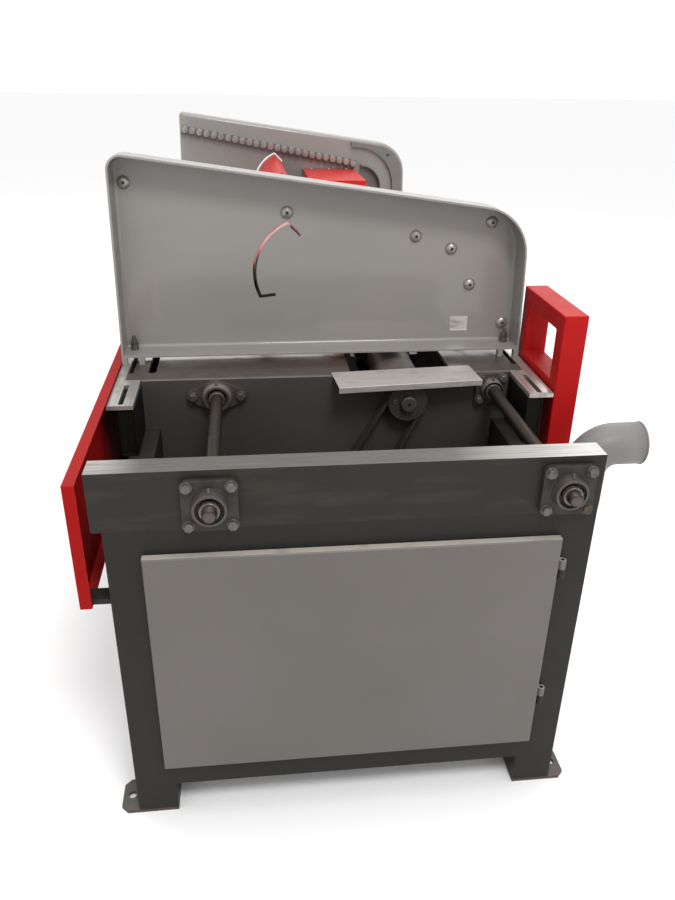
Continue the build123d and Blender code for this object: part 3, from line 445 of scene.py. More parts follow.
def cast_iron(name, colour, deep, boss, roughness=0.6, grease="#1F1A18"):
    """Sand-cast iron under thin paint: grainy skin with darker patches."""
    material, tree, shader, place = blank(name, roughness, 0.2, 0.4)
    # Moulding sand leaves grains of 0.5 mm; they are drawn at 2.5 mm so that they show.
    sand = add(tree, "ShaderNodeTexNoise", {"Vector": place, "Scale": 1 / 0.0025, "Detail": 3.0}, "Fac")
    patch = add(tree, "ShaderNodeTexNoise", {"Vector": place, "Scale": 1 / 0.03, "Detail": 4.0}, "Fac")
    share = add(tree, "ShaderNodeMapRange", {"Value": patch, "From Min": 0.3, "From Max": 0.7})
    base = add(tree, "ShaderNodeMix", {0: share, 6: linear(deep), 7: linear(colour)}, 2, data_type="RGBA")
    tree.links.new(base, shader.inputs["Base Color"])
    # The bosses are drawn paler, their faced rims show bare iron, and the seats inside are drawn dark:
    # grease, and painted shade of the recess.
    height = off_face(tree, place)
    raised = {"Value": height, "From Min": 0.014, "From Max": 0.02, "To Max": 0.8}
    lay_over(material, add(tree, "ShaderNodeMapRange", raised), linear(boss))
    faced = add(tree, "ShaderNodeMath", {0: height, 1: boss_top, 2: 0.0009}, operation="COMPARE")
    lay_over(material, faced, linear("#4B4744"))
    # Grease and painted shade: the seat floor is drawn dark.
    seat_grease_and_shade = add(tree, "ShaderNodeMath", {0: height, 1: seat_level, 2: 0.0004}, operation="COMPARE")
    lay_over(material, seat_grease_and_shade, linear(grease))
    bump = add(tree, "ShaderNodeBump", {"Strength": 0.3, "Distance": 0.0006, "Height": sand})
    tree.links.new(bump, shader.inputs["Normal"])
    return material


def casting(name, outline, boss, eyes):
    """A flange with a fillet, a tapered boss round the seat, and raised pads under the bolts."""
    shape = bmesh.new()
    flange_top, sunk, bore, pad_top = 0.013, 0.0125, 0.0236, 0.0136
    slab(shape, outline, 0.0, flange_top)
    rim = max(boss - 0.0065, 0.0252)
    rise = [(boss + 0.006, sunk), (boss + 0.0025, 0.0138), (boss + 0.0005, 0.017), (boss - 0.0015, 0.031)]
    rise += [(boss - 0.0022, 0.0333), (boss - 0.0035, boss_top), (rim, boss_top), (rim - 0.0006, 0.0334)]
    rise += [(rim - 0.0006, seat_level), (bore, seat_level), (bore, sunk), (boss + 0.006, sunk)]
    turned(shape, rise, 48)
    for x, y in eyes:
        pad = [(0.0, sunk), (0.0135, sunk), (0.0132, pad_top), (0.0, pad_top)]
        turned(shape, pad, 24, Matrix.Translation((x, y, 0.0)))
    return master(name, shape)


shaft_level = 0.82
drive_x, idle_x = -0.283, 0.417
bar_face, plate_face = -1.55, -1.01
seat_level, boss_top = 0.028, 0.034
boss_radius, small_boss_radius = 0.035, 0.028
square_reach, small_reach, oblong_reach = 0.0415, 0.029, 0.0585
oblong_half, eye_radius = 0.04, 0.0155
eye_turn = math.degrees(math.acos((oblong_half - eye_radius) / oblong_reach))
oblong_outline = arc(oblong_reach, 0, eye_radius, -eye_turn, eye_turn)
oblong_outline += arc(0, 0, oblong_half, eye_turn, 180 - eye_turn)
oblong_outline += [(-x, -y) for x, y in oblong_outline]
square_eyes = [(x, y) for x in (-square_reach, square_reach) for y in (-square_reach, square_reach)]
small_eyes = [(x, y) for x in (-small_reach, small_reach) for y in (-small_reach, small_reach)]
oblong_eyes = [(-oblong_reach, 0.0), (oblong_reach, 0.0)]
placed_copies = copies_tree()


def at_ends(points):
    """Points given at the front, and their mirror images at the rear, with the way they face."""
    front = [((x, y, z), (0.0, -1.0, 0.0)) for x, y, z in points]
    return front + [((x, -y, z), (0.0, 1.0, 0.0)) for x, y, z in points]


# Dull dark castings outside; those inside are drawn lighter and browner, with paler bosses and lighter seats.
bearing_iron = cast_iron("painted_bearing_iron", "#373331", "#252220", "#423E3B")
pale_iron = cast_iron("pale_bearing_iron", "#4A4442", "#3A3533", "#76706C", grease="#46403C")
bar_outline = square_outline(side=0.108, corner=0.014)
small_outline = square_outline(side=0.08, corner=0.012)
bar_casting = casting("bar_casting", bar_outline, boss_radius, square_eyes)
oblong_casting = casting("oblong_casting", oblong_outline, boss_radius, oblong_eyes)
small_casting = casting("small_casting", small_outline, small_boss_radius, small_eyes)
bar_places = at_ends([(x, bar_face, shaft_level) for x in (drive_x, idle_x)])
mesh = copies(bar_casting, bar_places, 1.0, bearing_iron)
replaced = ["outer_bearing_housings"]
piece = shown("bar_bearing_castings", mesh, bearing_iron, "base", replaced)
soften(piece)
cast_edge = 0.0016
round_edges(piece, cast_edge, 2, 50)
oblong = copies(oblong_casting, at_ends([(drive_x, plate_face, shaft_level)]), 1.0, pale_iron)
small = copies(small_casting, at_ends([(idle_x, plate_face, shaft_level)]), 1.0, pale_iron)
mesh = joined("plate_bearing_castings", [oblong, small])
replaced = ["inner_bearing_housings"]
piece = shown("plate_bearing_castings", mesh, pale_iron, "base", replaced)
soften(piece)
round_edges(piece, cast_edge, 2, 50)


# Bolts of the bearings: oily hex bolts with flat washers, through the flange into bar or plate.
# Lengths below are in thread diameters, so one master serves every thread size.
bolt_steel = bare_steel("oily_bolt_steel", "#66615D", "#4E4A46", "#463F39", 0.42, 2, 0.5)
shape = bmesh.new()
turned(shape, [(0.0, 0.0), (0.98, 0.0), (1.0, 0.04), (1.0, 0.17), (0.97, 0.2), (0.0, 0.2)], 28)
turned(shape, [(0.0, 0.19), (0.85, 0.19), (0.85, 0.78), (0.74, 0.86), (0.0, 0.88)], 6)
hex_bolt = master("hex_bolt", shape)
bolt_size, washer_level = 0.012, 0.0133
bolt_points = []
for shaft_x, eyes, face in (
    (drive_x, square_eyes, bar_face),
    (idle_x, square_eyes, bar_face),
    (drive_x, oblong_eyes, plate_face),
    (idle_x, small_eyes, plate_face),
):
    bolt_points += [(shaft_x + x, face - washer_level, shaft_level + z) for x, z in eyes]
mesh = copies(hex_bolt, at_ends(bolt_points), bolt_size, bolt_steel, 1.0)
soften(shown("bearing_hex_bolts", mesh, bolt_steel, "base", ["bearing_bolts"]), 25)


# Grease nipples: small turned steel nipples with a hex foot, one in the top of each bearing.
# They are screwed into the boss, and the grease gun snaps over their round heads.
shape = bmesh.new()
turned(shape, [(0.0, -0.003), (0.004, -0.003), (0.004, 0.001), (0.0, 0.001)], 6)
nose = [(0.0, 0.0005), (0.0028, 0.0005), (0.0028, 0.003), (0.0018, 0.004), (0.0018, 0.0055)]
turned(shape, nose + [(0.003, 0.0068), (0.002, 0.0085), (0.0, 0.009)], 16)
nipple = master("grease_nipple", shape)
nipple_places = []
nipple_reach = 0.0245
for shaft_x, face, boss in (
    (drive_x, bar_face, boss_radius),
    (idle_x, bar_face, boss_radius),
    (drive_x, plate_face, boss_radius),
    (idle_x, plate_face, small_boss_radius),
):
    for side in (1, -1):
        place = (shaft_x, side * (face - nipple_reach), shaft_level + boss)
        nipple_places.append((place, (0.0, 0.0, 1.0)))
mesh = copies(nipple, nipple_places, 1.0, bolt_steel)
soften(shown("grease_nipples", mesh, bolt_steel, "base"), 30)


# Insert bearings: hardened steel rings with a rubber-lipped seal between them.
# The inner ring stands proud and is clamped to the shaft, so the insert turns with it.
def greasy_shaded_insert():
    """Ground steel whose rings and seal, up to 27 mm off the face, are drawn black: grease, and painted shade
    of the recess.
    """
    material = bare_steel("ground_insert_steel", "#7A726C", "#5C5550", "#463B33", 0.38, 1, 0.6)
    tree = material.node_tree
    deep = {0: off_face(tree, add(tree, "ShaderNodeTexCoord", out="Object")), 1: 0.027}
    lay_over(material, add(tree, "ShaderNodeMath", deep, operation="LESS_THAN"), linear("#2D2725"))
    return material


insert_steel = greasy_shaded_insert()
shape = bmesh.new()
rings = [(0.0232, 0.002), (0.0232, 0.0238), (0.0226, 0.0245), (0.0212, 0.0245), (0.021, 0.0225)]
rings += [(0.0198, 0.0225), (0.0196, 0.0374), (0.019, 0.038), (0.0158, 0.038), (0.0151, 0.0373)]
turned(shape, rings + [(0.0151, 0.002), (0.0232, 0.002)], 48)
screw = [(0.0, -0.001), (0.0024, -0.001), (0.0024, 0.0004), (0.0012, 0.0004), (0.0012, -0.0006)]
lying = Matrix.Translation((0.0194, 0.0, 0.0335)) @ Matrix.Rotation(math.radians(90), 4, "Y")
for turn in (60, 180):
    around = Matrix.Rotation(math.radians(turn), 4, "Z")
    turned(shape, screw + [(0.0, -0.0006)], 12, around @ lying)
insert = master("insert", shape)
for shaft, shaft_x in (("drive", drive_x), ("idle", idle_x)):
    places = at_ends([(shaft_x, face, shaft_level) for face in (bar_face, plate_face)])
    mesh = copies(insert, places, 1.0, insert_steel)
    node = f"{shaft}_bearing_inserts"
    soften(shown(f"{node}_finished", mesh, insert_steel, f"{shaft}_shaft", [node]), 40)


# Feed shafts: cold-drawn round bar through four bearings, oiled and dark from handling.
# The chain wheels are sawn from hot-rolled steel, hobbed and fixed on the shafts.
def shaft_finish():
    """Dark oiled bar with painted shade on its sides and underside, and faced ends wiped bare."""
    material = bare_steel("oiled_shaft_steel", "#473F3A", "#302B27", "#362B24", 0.42, 1, 0.6)
    tree = material.node_tree
    normal = add(tree, "ShaderNodeNewGeometry", out="Normal")
    # Painted shade: the sides and the underside are drawn near black, darkest below.
    up = add(tree, "ShaderNodeSeparateXYZ", {"Vector": normal}, "Z")
    underside_shade = add(tree, "ShaderNodeMapRange", {"Value": up, "From Min": 0.8, "From Max": 0.2})
    lay_over(material, underside_shade, linear("#1E1A18"))
    facing = add(tree, "ShaderNodeSeparateXYZ", {"Vector": normal}, "Y")
    facing = add(tree, "ShaderNodeMath", {0: facing}, operation="ABSOLUTE")
    end = add(tree, "ShaderNodeMapRange", {"Value": facing, "From Min": 0.9, "From Max": 0.95})
    lay_over(material, end, linear("#544B47"))
    return material


shaft_steel = shaft_finish()
wheel_steel = bare_steel("oiled_wheel_steel", "#473F3A", "#302B27", "#362B24", 0.42, 1, 0.6)
for shaft in ("drive", "idle"):
    dress(f"{shaft}_shaft", shaft_steel, 0, angle=50)
    dress(f"{shaft}_sprockets", wheel_steel, 0.0006)


# Feed chains: roller chain of stamped link plates and pins with upright lugs that push the boards.
# They run in channels of folded sheet under the deck lanes, dark with oil and dull but for the edges.
chain_steel = bare_steel("oiled_chain_steel", "#6B6661", "#403D39", "#463A30", 0.45, 0, 0.7)
dress("feed_chains", chain_steel, 0)
dress("chain_guides", dark_enamel, 0.0008)


# Notching spindles: ground steel shafts in turned iron barrels, flanged to the inner plates.
# Each has a two-groove iron pulley outside, held by a taper bush with socket screws.
def spindle_finish():
    """Ground steel whose centre-drilled hole, 8 mm wide, is drawn as a black disc: grease, and painted shade
    of the hole.
    """
    material = bare_steel("ground_spindle_steel", "#6E6862", "#524D48", "#463E38", 0.36, 1, 0.6)
    tree = material.node_tree
    flat = {"Vector": add(tree, "ShaderNodeTexCoord", out="Object"), "Scale": (1.0, 0.0, 1.0)}
    flat = add(tree, "ShaderNodeMapping", flat)
    axis = {0: flat, 1: (spindle_x, 0.0, spindle_level)}
    reach = add(tree, "ShaderNodeVectorMath", axis, "Value", operation="DISTANCE")
    hole_grease_and_shade = add(tree, "ShaderNodeMath", {0: reach, 1: 0.0042}, operation="LESS_THAN")
    lay_over(material, hole_grease_and_shade, linear("#1A1715"))
    return material


spindle_x, spindle_level = 0.195, 0.8
motor_x, motor_level = -0.05543, 0.323
bush_face, bush_screw = 1.052, 0.008
# Plain grey turned iron and steel: the round barrel and pulley stand out of the dark well.
barrel_iron = cast_iron("turned_barrel_iron", "#6C6460", "#57504D", "#6C6460", 0.5)
spindle_steel = spindle_finish()
pulley_iron = bare_steel("turned_pulley_iron", "#554E4A", "#433D39", "#3B332D", 0.45, 2, 0.5)
dress("spindle_housings", barrel_iron, 0.0015, 2, 38)
shape = bmesh.new()
head = [(0.0, -0.1), (0.8, -0.1), (0.8, 0.35), (0.72, 0.42), (0.45, 0.42), (0.45, 0.1), (0.0, 0.1)]
turned(shape, head, 20)
socket_screw = master("socket_screw", shape)
machine_ends = (("front", 1), ("rear", -1))
for end, side in machine_ends:
    dress(f"{end}_spindle", spindle_steel, 0.0005, 2, 38)
    dress(f"{end}_spindle_pulley", pulley_iron, 0.0006, 2, 38)
    dress(f"{end}_motor_shaft", spindle_steel, 0.0005, 2, 38)
    dress(f"{end}_motor_pulley", pulley_iron, 0.0006, 2, 38)
    for name, x, z, reach in (
        (f"{end}_spindle", spindle_x, spindle_level, 0.033),
        (f"{end}_motor_rotor", motor_x, motor_level, 0.036),
    ):
        turns = [math.radians(a) for a in (175, 55, 295)]
        points = [(x + reach * math.cos(a), -side * bush_face, z + reach * math.sin(a)) for a in turns]
        places = [(point, (0.0, -side, 0.0)) for point in points]
        mesh = copies(socket_screw, places, bush_screw, bolt_steel)
        soften(shown(f"{name}_bush_screws", mesh, bolt_steel, name), 30)


# Motors: aluminium castings with cooling fins, bolted by their feet to the cabinet floor.
# They and the worm gear motor come from their maker in one grey-blue enamel, now dusty.
motor_enamel = enamel("motor_enamel", "#4F5A63", "#454F57", "#7C8287", 0.5, 0.5)
dress("motors", motor_enamel, 0.0012, 2, 38)
dress("feed_gearmotor", motor_enamel, 0.0015, 2, 38)


# Drive belts: at each end two moulded rubber belts with cord inside, stretched over the pulleys.
# Their flanks are scuffed grey where they rub in the grooves.
def belt_rubber():
    """Black rubber with scuffs."""
    material, tree, shader, place = blank("scuffed_belt_rubber", 0.75)
    # Scuffs from the pulley flanks are about 8 mm long.
    scuff = add(tree, "ShaderNodeTexNoise", {"Vector": place, "Scale": 1 / 0.008, "Detail": 5.0}, "Fac")
    share = add(tree, "ShaderNodeMapRange", {"Value": scuff, "From Min": 0.3, "From Max": 0.7})
    base = {0: share, 6: linear("#171615"), 7: linear("#2E2A27")}
    tree.links.new(add(tree, "ShaderNodeMix", base, 2, data_type="RGBA"), shader.inputs["Base Color"])
    bump = add(tree, "ShaderNodeBump", {"Strength": 0.3, "Distance": 0.0005, "Height": scuff})
    tree.links.new(bump, shader.inputs["Normal"])
    return material


dress("drive_belts", belt_rubber(), 0.001)


# Cutter heads: stepped steel bodies, blackened, with staggered gullets and a clamping nut.
# A ground carbide knife is brazed to the wall of every gullet, so pale edges ring the dark body.
cutter_steel = bare_steel("blackened_cutter_steel", "#4E4C4D", "#363536", "#3F3832", 0.4, 1)
carbide = bare_steel("ground_carbide", "#A5A5A8", "#84848A", "#77777A", 0.25, 1)
for end in ("front", "rear"):
    dress(f"{end}_cutter_head", cutter_steel, 0.0008, 2, 38)
    dress(f"{end}_knives", carbide, 0.0003)


# Pulley covers: loose sheets of zinc-coated steel with a folded front lip.
# They lie over the spindle pulleys, pale and slightly streaked from the rolling mill.
cover_sheet = bare_steel("zinc_coated_sheet", "#B2ABA7", "#9D9693", "#938C88", 0.45, 0, 0.3)
dress("pulley_covers", cover_sheet, 0.002, 3)


# Guide panels: pressed sheet with rolled rims, sprayed mid grey, that stop the ends of the boards.
# The roller rail and the two chute plates are screwed to the inner face and painted with it.
# Painted shade: they are drawn in a darker copy of its grey, as they stand in shade.
# Mid grey satin, lighter than the base: the tall plain panel is the first thing that is seen.
shaded_guide_enamel = enamel("shaded_chute_grey_enamel", "#72706D", "#696764", "#A6A39D", 0.1, 0.5)
panel_enamel = enamel("panel_grey_enamel", "#8A8682", "#85827E", "#AFACA6", 0.1, 0.45, 0.35, 0.6)
for end in ("front", "rear"):
    dress(f"{end}_guide_panel", panel_enamel, 0.0012, 2, 30)
    dress(f"{end}_corner_guide", shaded_guide_enamel, 0.001)
    dress(f"{end}_floor_guide", shaded_guide_enamel, 0.001)
    dress(f"{end}_roller_rail", shaded_guide_enamel, 0.0008)


# Rollers: a sloping row of free rollers on each panel, turned from steel tube on short axle screws.
# The boards slide down on them into the chute.
# Bright turned steel: a row of pale, glinting rounds below the panel's top rim.
roller_steel = bare_steel("turned_roller_steel", "#B9B4AE", "#918D87", "#7F766C", 0.3, 1, 0.7)
shape = bmesh.new()
rim = [(0.0, 0.0), (0.006, 0.0), (0.006, 0.002), (0.0118, 0.002), (0.013, 0.0032), (0.013, 0.0315)]
rim += [(0.0122, 0.0325), (0.0095, 0.0325), (0.009, 0.0312), (0.0068, 0.0312), (0.0068, 0.0338)]
rim += [(0.0058, 0.034), (0.003, 0.034), (0.003, 0.0318), (0.0, 0.0318)]
turned(shape, rim, 24)
roller = master("roller", shape)
row_slope = math.radians(10.4)
row_left, row_level, row_right = -0.487, 1.312, 0.283
roller_pitch, roller_seat = 0.0306, 0.809


def on_row(x, level):
    """The height at x of a line along the sloping row, from its height at the left end."""
    return level - (x - row_left) * math.tan(row_slope)


for end, side, count in (("front", 1, 26), ("rear", -1, 25)):
    step = roller_pitch * math.cos(row_slope)
    across = [row_right - step * i for i in range(count)]
    points = [(x, -side * roller_seat, on_row(x, row_level)) for x in across]
    mesh = copies(roller, [(point, (0.0, side, 0.0)) for point in points], 1.0, roller_steel)
    node = f"{end}_rollers"
    soften(shown(f"{node}_finished", mesh, roller_steel, body_of(node), [node]), 30)


# Panel bolts: wide domed screws with a hex socket, and a clamping stud on each foot.
# The studs are threaded rod with a hex nut and a spacer; they hold the feet in the deck slots.
def zinc_finish():
    """Zinc plating a little paler than the panel; the sockets, marked in the mesh, are drawn dark: dirt, and
    painted shade of the recess.
    """
    material = bare_steel("bright_zinc_steel", "#ABA7A2", "#95918C", "#857D74", 0.38, 2)
    tree = material.node_tree
    socket_grime_and_shade = add(tree, "ShaderNodeAttribute", out="Fac", attribute_name="socket_grime_and_shade")
    lay_over(material, socket_grime_and_shade, linear("#3F3B38"))
    clean = add(tree, "ShaderNodeMapRange", {"Value": socket_grime_and_shade, "To Min": 0.7, "To Max": 0.0})
    tree.links.new(clean, tree.nodes["Principled BSDF"].inputs["Metallic"])
    return material


zinc = zinc_finish()
# The screw head, in thread diameters. Its socket is turned first, then pressed to a hexagon.
shape = bmesh.new()
key, near = 0.38, 1e-4
head = [(0.0, 0.0), (1.24, 0.0), (1.3, 0.06), (1.3, 0.2), (1.2, 0.4), (0.98, 0.62), (0.7, 0.77)]
turned(shape, head + [(key, 0.84), (key, 0.79), (key, 0.4), (0.0, 0.38)], 36)
# Mark the socket walls, whose dark is dirt and painted shade.
socket_grime_and_shade = shape.verts.layers.float.new("socket_grime_and_shade")
sixth = math.pi / 6
for point in shape.verts:
    x, y, level = point.co
    reach = math.hypot(x, y)
    if reach < key + near and 0.3 < level < 0.8:
        point[socket_grime_and_shade] = 1.0
    if abs(reach - key) < near:
        turn = (math.atan2(y, x) + sixth) % (2 * sixth) - sixth
        flat = math.cos(sixth) / math.cos(turn)
        point.co = (x * flat, y * flat, level)
domed_screw = master("domed_screw", shape)
# The stud, from the rod in the deck slot over spacer, washer and nut to the thread's end, in metres.
shape = bmesh.new()
turned(shape, [(0.0, -0.033), (0.005, -0.033), (0.005, 0.0005), (0.0, 0.0005)], 20)
spacer = [(0.0, 0.0), (0.0096, 0.0), (0.01, 0.0006), (0.01, 0.0134), (0.0096, 0.014), (0.0, 0.014)]
turned(shape, spacer, 28)
turned(shape, [(0.0, 0.0139), (0.0104, 0.0139), (0.0104, 0.0165), (0.0, 0.0165)], 28)
nut = [(0.0, 0.0164), (0.0085, 0.0164), (0.0095, 0.0176), (0.0095, 0.0252), (0.0085, 0.0264)]
turned(shape, nut + [(0.0, 0.0264)], 6)
thread = [(0.0, 0.026), (0.005, 0.026)]
for pitch in range(6):
    thread += [(0.005, 0.0268 + 0.0015 * pitch), (0.0043, 0.02755 + 0.0015 * pitch)]
turned(shape, thread + [(0.0045, 0.0362), (0.0036, 0.037), (0.0, 0.037)], 20)
stud = master("foot_stud", shape)
bolt_row, chute_bolts = 1.302, [(0.336, 1.136), (0.393, 1.041), (0.439, 1.203), (0.493, 0.934)]
panel_face, panel_bolt_size = 0.82, 0.012
foot_x, foot_y, foot_level = 0.497, 0.841, 0.8853
for end, side, inset in (("front", 1, 0.0), ("rear", -1, 0.052)):
    across = (inset + row_left, -0.093, 0.24)
    places = [(x, on_row(x, bolt_row)) for x in across] + chute_bolts
    bolts = [((x, -side * panel_face, z), (0.0, -side, 0.0)) for x, z in places]
    studs = [((x, -side * foot_y, foot_level), (0.0, 0.0, 1.0)) for x in (inset - foot_x, foot_x)]
    node = f"{end}_panel_bolts"
    mesh = copies(domed_screw, bolts, panel_bolt_size, zinc, 1.0)
    soften(shown(f"{node}_finished", mesh, zinc, body_of(node), [node]), 30)
    mesh = copies(stud, studs, 1.0, bolt_steel, 1.0)
    soften(shown(f"{end}_foot_studs", mesh, bolt_steel, body_of(node)), 30)


# Red guards: folded sheet and square tube round the cutters, and an apron along the feed side.
# They are screwed or welded up, then sprayed signal red, which warns of what moves behind them.
def slit_light_and_shade(material):
    """Painted light and shade on the sheet edge that shows in the panel's slit: black along its lower arc and
    its tip, pale pink on its upper arc.
    """
    tree = material.node_tree
    place = add(tree, "ShaderNodeTexCoord", out="Object")
    x, y, z = add(tree, "ShaderNodeSeparateXYZ", {"Vector": place}).node.outputs
    along = add(tree, "ShaderNodeMath", {0: y}, operation="ABSOLUTE")
    front = add(tree, "ShaderNodeMapRange", {"Value": along, "From Min": 0.8, "From Max": 0.812})
    # Painted light: the upper arc, lit from above, is drawn pale pink.
    pale = {"Value": z, "From Min": 1.115, "From Max": 1.165, "To Max": 0.82}
    pale = add(tree, "ShaderNodeMapRange", pale)
    pale = add(tree, "ShaderNodeMath", {0: pale, 1: front}, operation="MULTIPLY")
    lay_over(material, pale, linear("#E3BDB8"))
    # Painted shade: the lower arc and the tip, deep in the slit, are drawn near black.
    low = add(tree, "ShaderNodeMapRange", {"Value": z, "From Min": 1.14, "From Max": 1.11})
    tip = add(tree, "ShaderNodeMapRange", {"Value": x, "From Min": -0.088, "From Max": -0.082})
    slit_shade = add(tree, "ShaderNodeMath", {0: low, 1: tip}, operation="MAXIMUM")
    slit_shade = add(tree, "ShaderNodeMath", {0: slit_shade, 1: front}, operation="MULTIPLY")
    lay_over(material, slit_shade, linear("#17110F"))
    return material


# The reds run from matt on the apron to gloss on the hoods, so each guard keeps its own shine.
frame_enamel = enamel("signal_red_enamel", "#AE0E0D", "#A00C0B", "#B5544E", 0.05, 0.5, 0.15)
apron_enamel = enamel("matt_red_enamel", "#950A08", "#880807", "#B5544E", 0.05, 0.55, 0.1)
hood_enamel = enamel("gloss_red_enamel", "#C81C17", "#B91813", "#D0726B", 0.05, 0.4, 0.3, 0.3)
guard_enamel = enamel("slit_shaded_red_enamel", "#C81C17", "#B91813", "#D0726B", 0.05, 0.4, 0.3, 0.3)
guard_enamel = slit_light_and_shade(guard_enamel)
hood_left, hood_right, hood_top = 0.063, 0.291, 1.144
hood_seam, hood_screw = 0.797, 0.006
for end, side in machine_ends:
    dress(f"{end}_curved_guard", guard_enamel, 0.0008)
    node = f"{end}_cutter_hood"
    dress(node, hood_enamel, 0.001)
    y = -side * hood_seam
    places = [((x, y, hood_top), (0.0, 0.0, 1.0)) for x in (0.1, 0.177, 0.254)]
    for z in (0.99, 1.05, 1.11):
        places += [((hood_left, y, z), (-1.0, 0.0, 0.0)), ((hood_right, y, z), (1.0, 0.0, 0.0))]
    mesh = copies(domed_screw, places, hood_screw, zinc, 1.0)
    soften(shown(f"{end}_hood_screws", mesh, zinc, body_of(node)), 30)
dress("guard_frame", frame_enamel, 0.003, 3)
dress("left_apron", apron_enamel, 0.0008)


# Dust spouts: rolled sheet pipe in two bends, welded to a wall collar, with a rolled bead at the mouth.
# They are sprayed light grey and take the hose of a dust extractor.
def pipe_tree():
    """A bent pipe along a route with rounded corners."""
    tree = bpy.data.node_groups.new("bent_pipe", "GeometryNodeTree")
    for name, kind in (
        ("Route", "NodeSocketGeometry"),
        ("Pipe Diameter", "NodeSocketFloat"),
        ("Bend Radius", "NodeSocketFloat"),
        ("Finish", "NodeSocketMaterial"),
    ):
        tree.interface.new_socket(name, in_out="INPUT", socket_type=kind)
    tree.interface.new_socket("Pipe", in_out="OUTPUT", socket_type="NodeSocketGeometry")
    given = tree.nodes.new("NodeGroupInput").outputs
    route = add(tree, "GeometryNodeMeshToCurve", {"Mesh": given["Route"]})
    bends = {"Curve": route, "Radius": given["Bend Radius"], "Count": 14}
    route = add(tree, "GeometryNodeFilletCurve", bends, mode="POLY")
    half = add(tree, "ShaderNodeMath", {0: given["Pipe Diameter"], 1: 0.5}, operation="MULTIPLY")
    ring = add(tree, "GeometryNodeCurvePrimitiveCircle", {"Resolution": 56, "Radius": half})
    pipe = add(tree, "GeometryNodeCurveToMesh", {"Curve": route, "Profile Curve": ring})
    real = add(tree, "GeometryNodeRealizeInstances", {"Geometry": pipe})
    done = add(tree, "GeometryNodeSetMaterial", {"Geometry": real, "Material": given["Finish"]})
    add(tree, "NodeGroupOutput", {"Pipe": done})
    return tree


# A light grey that fades into the pale surroundings, as thin sheet does.
spout_enamel = enamel("spout_grey_enamel", "#7D7A78", "#747170", "#BEBBB7", 0.0, 0.45)
bent_pipe = pipe_tree()
shape = bmesh.new()
ring = [(0.0502, 0.0), (0.0698, 0.0), (0.07, 0.0005), (0.07, 0.0035), (0.0698, 0.004), (0.052, 0.004)]
turned(shape, ring + [(0.0502, 0.007), (0.0502, 0.0)], 56)
collar = master("wall_collar", shape)
shape = bmesh.new()
bead_middle, bead_radius = 0.0495, 0.0022
turns = [math.tau * i / 10 for i in range(11)]
bead = [(bead_middle + bead_radius * math.cos(a), bead_radius * math.sin(a)) for a in turns]
turned(shape, bead, 56)
rolled_bead = master("rolled_bead", shape)
wall_x, rise_x, mouth_x = 0.49, 0.588, 0.7159
spout_y, spout_low, spout_high = 1.26, 0.56, 0.768
bead_x = mouth_x - bead_radius
outward = (1.0, 0.0, 0.0)
for end, side in machine_ends:
    y = -side * spout_y
    route = bpy.data.meshes.new("spout_route")
    corners = [(wall_x, y, spout_low), (rise_x, y, spout_low)]
    corners += [(rise_x, y, spout_high), (mouth_x, y, spout_high)]
    route.from_pydata(corners, [(0, 1), (1, 2), (2, 3)], [])
    values = {"Pipe Diameter": 0.1, "Bend Radius": 0.066, "Finish": spout_enamel}
    pipe = evaluated(bent_pipe, route, values)
    rings = [((wall_x, y, spout_low), outward)]
    beads = [((bead_x, y, spout_high), outward)]
    replaced = ["dust_spouts"] if end == "front" else []
    piece = shown(f"{end}_dust_pipe", pipe, spout_enamel, "base", replaced)
    soften(piece, 40)
    wall = piece.modifiers.new("sheet", "SOLIDIFY")
    wall.thickness = 0.003
    wall.offset = -1.0
    trim = [copies(collar, rings, 1.0, spout_enamel), copies(rolled_bead, beads, 1.0, spout_enamel)]
    trim = joined(f"{end}_spout_trim", trim)
    soften(shown(f"{end}_spout_trim", trim, spout_enamel, "base"), 40)


# Doors: steel sheet folded to shallow pans, hung on two lift-off hinges each.
# They are sprayed warm grey, between base and panel; the pale top fold is painted light, drawn as a heavy
# layer of the dust colour.
door_enamel = enamel("door_grey_enamel", "#5F5B58", "#595551", "#9A9590", 2.2, 0.45)
for end in ("front", "rear"):
    dress(f"{end}_door", door_enamel, 0.0012)


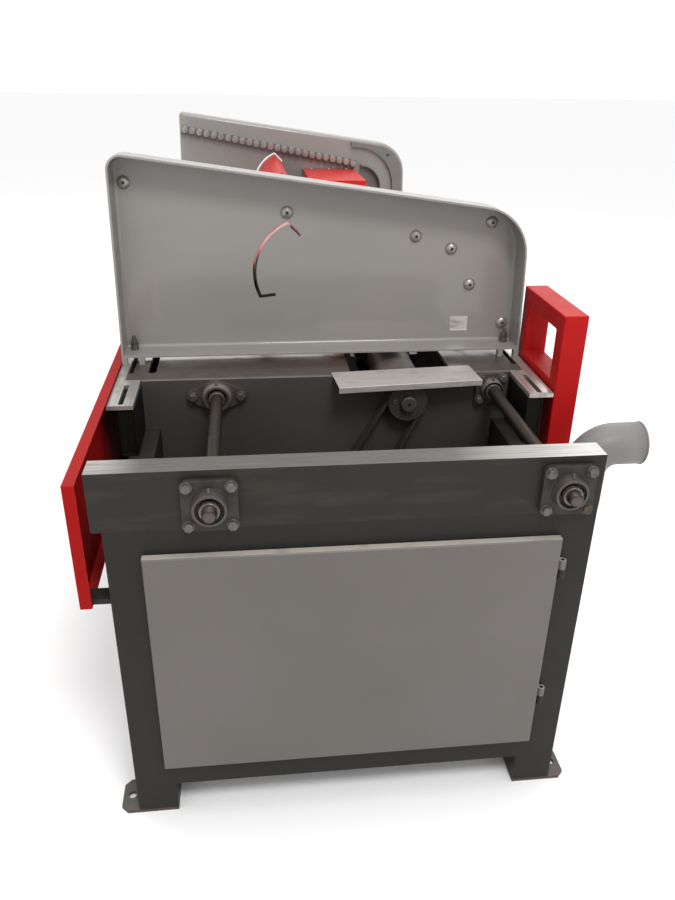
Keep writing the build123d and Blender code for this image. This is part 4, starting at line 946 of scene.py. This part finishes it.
# Studio: a pale floor under a white sky, so that the machine stands free as in the photograph.
# Three soft lamps, from the front, the ceiling and behind, give the tops more light than the sides.
floor_mesh = bpy.data.meshes.new("floor")
far = 40
floor_corners = [(-far, -far, 0), (far, -far, 0), (far, far, 0), (-far, far, 0)]
floor_mesh.from_pydata(floor_corners, [], [(0, 1, 2, 3)])
floor = bpy.data.objects.new("floor", floor_mesh)
bpy.context.scene.collection.objects.link(floor)
floor_paint, _, floor_shader, _ = blank("pale_floor", 0.8)
floor_shader.inputs["Base Color"].default_value = linear("#FAF9F9")
floor_mesh.materials.append(floor_paint)

world = bpy.data.worlds.new("studio")
world.use_nodes = True
world.node_tree.nodes["Background"].inputs["Color"].default_value = (1.0, 1.0, 1.0, 1.0)
world.node_tree.nodes["Background"].inputs["Strength"].default_value = 1.0
bpy.context.scene.world = world
for name, place, aim, size, power in (
    ("key_light", (0.5, -3.9, 4.6), (0.0, -1.1, 0.9), 1.2, 110.0),
    ("ceiling_light", (0.0, -0.4, 4.4), (0.0, -0.6, 0.8), 3.0, 60.0),
    ("rear_light", (2.5, 3.9, 4.0), (0.0, 0.6, 0.9), 3.0, 50.0),
):
    lamp = bpy.data.lights.new(name, "AREA")
    lamp.size = size
    lamp.energy = power
    light = bpy.data.objects.new(name, lamp)
    light.location = place
    light.rotation_euler = (Vector(aim) - Vector(place)).to_track_quat("-Z", "Y").to_euler()
    bpy.context.scene.collection.objects.link(light)
bpy.context.scene.view_settings.view_transform = "Standard"

# The camera was solved from the straight edges in the photograph: focal length in pixels of a
# picture 900 high, place in metres, and how far it is turned right, down and over, in degrees.
focal, picture_height, sensor = 785.7, 900, 36
camera_place = (-0.197, -2.854, 1.571)
yaw, pitch, roll = (math.radians(a) for a in (6.78, 26.31, 0.94))
camera_data = bpy.data.cameras.new("photo_camera")
camera_data.lens = focal / picture_height * sensor
camera_data.clip_end = 200.0
camera = bpy.data.objects.new("photo_camera", camera_data)
ahead = Vector((math.sin(yaw) * math.cos(pitch), math.cos(yaw) * math.cos(pitch), -math.sin(pitch)))
right = Vector((math.cos(yaw), -math.sin(yaw), 0.0))
up = right.cross(ahead)
right, up = math.cos(roll) * right + math.sin(roll) * up, math.cos(roll) * up - math.sin(roll) * right
turn = Matrix((right, up, -ahead)).transposed()
camera.matrix_world = Matrix.Translation(camera_place) @ turn.to_4x4()
bpy.context.scene.collection.objects.link(camera)
bpy.context.scene.camera = camera
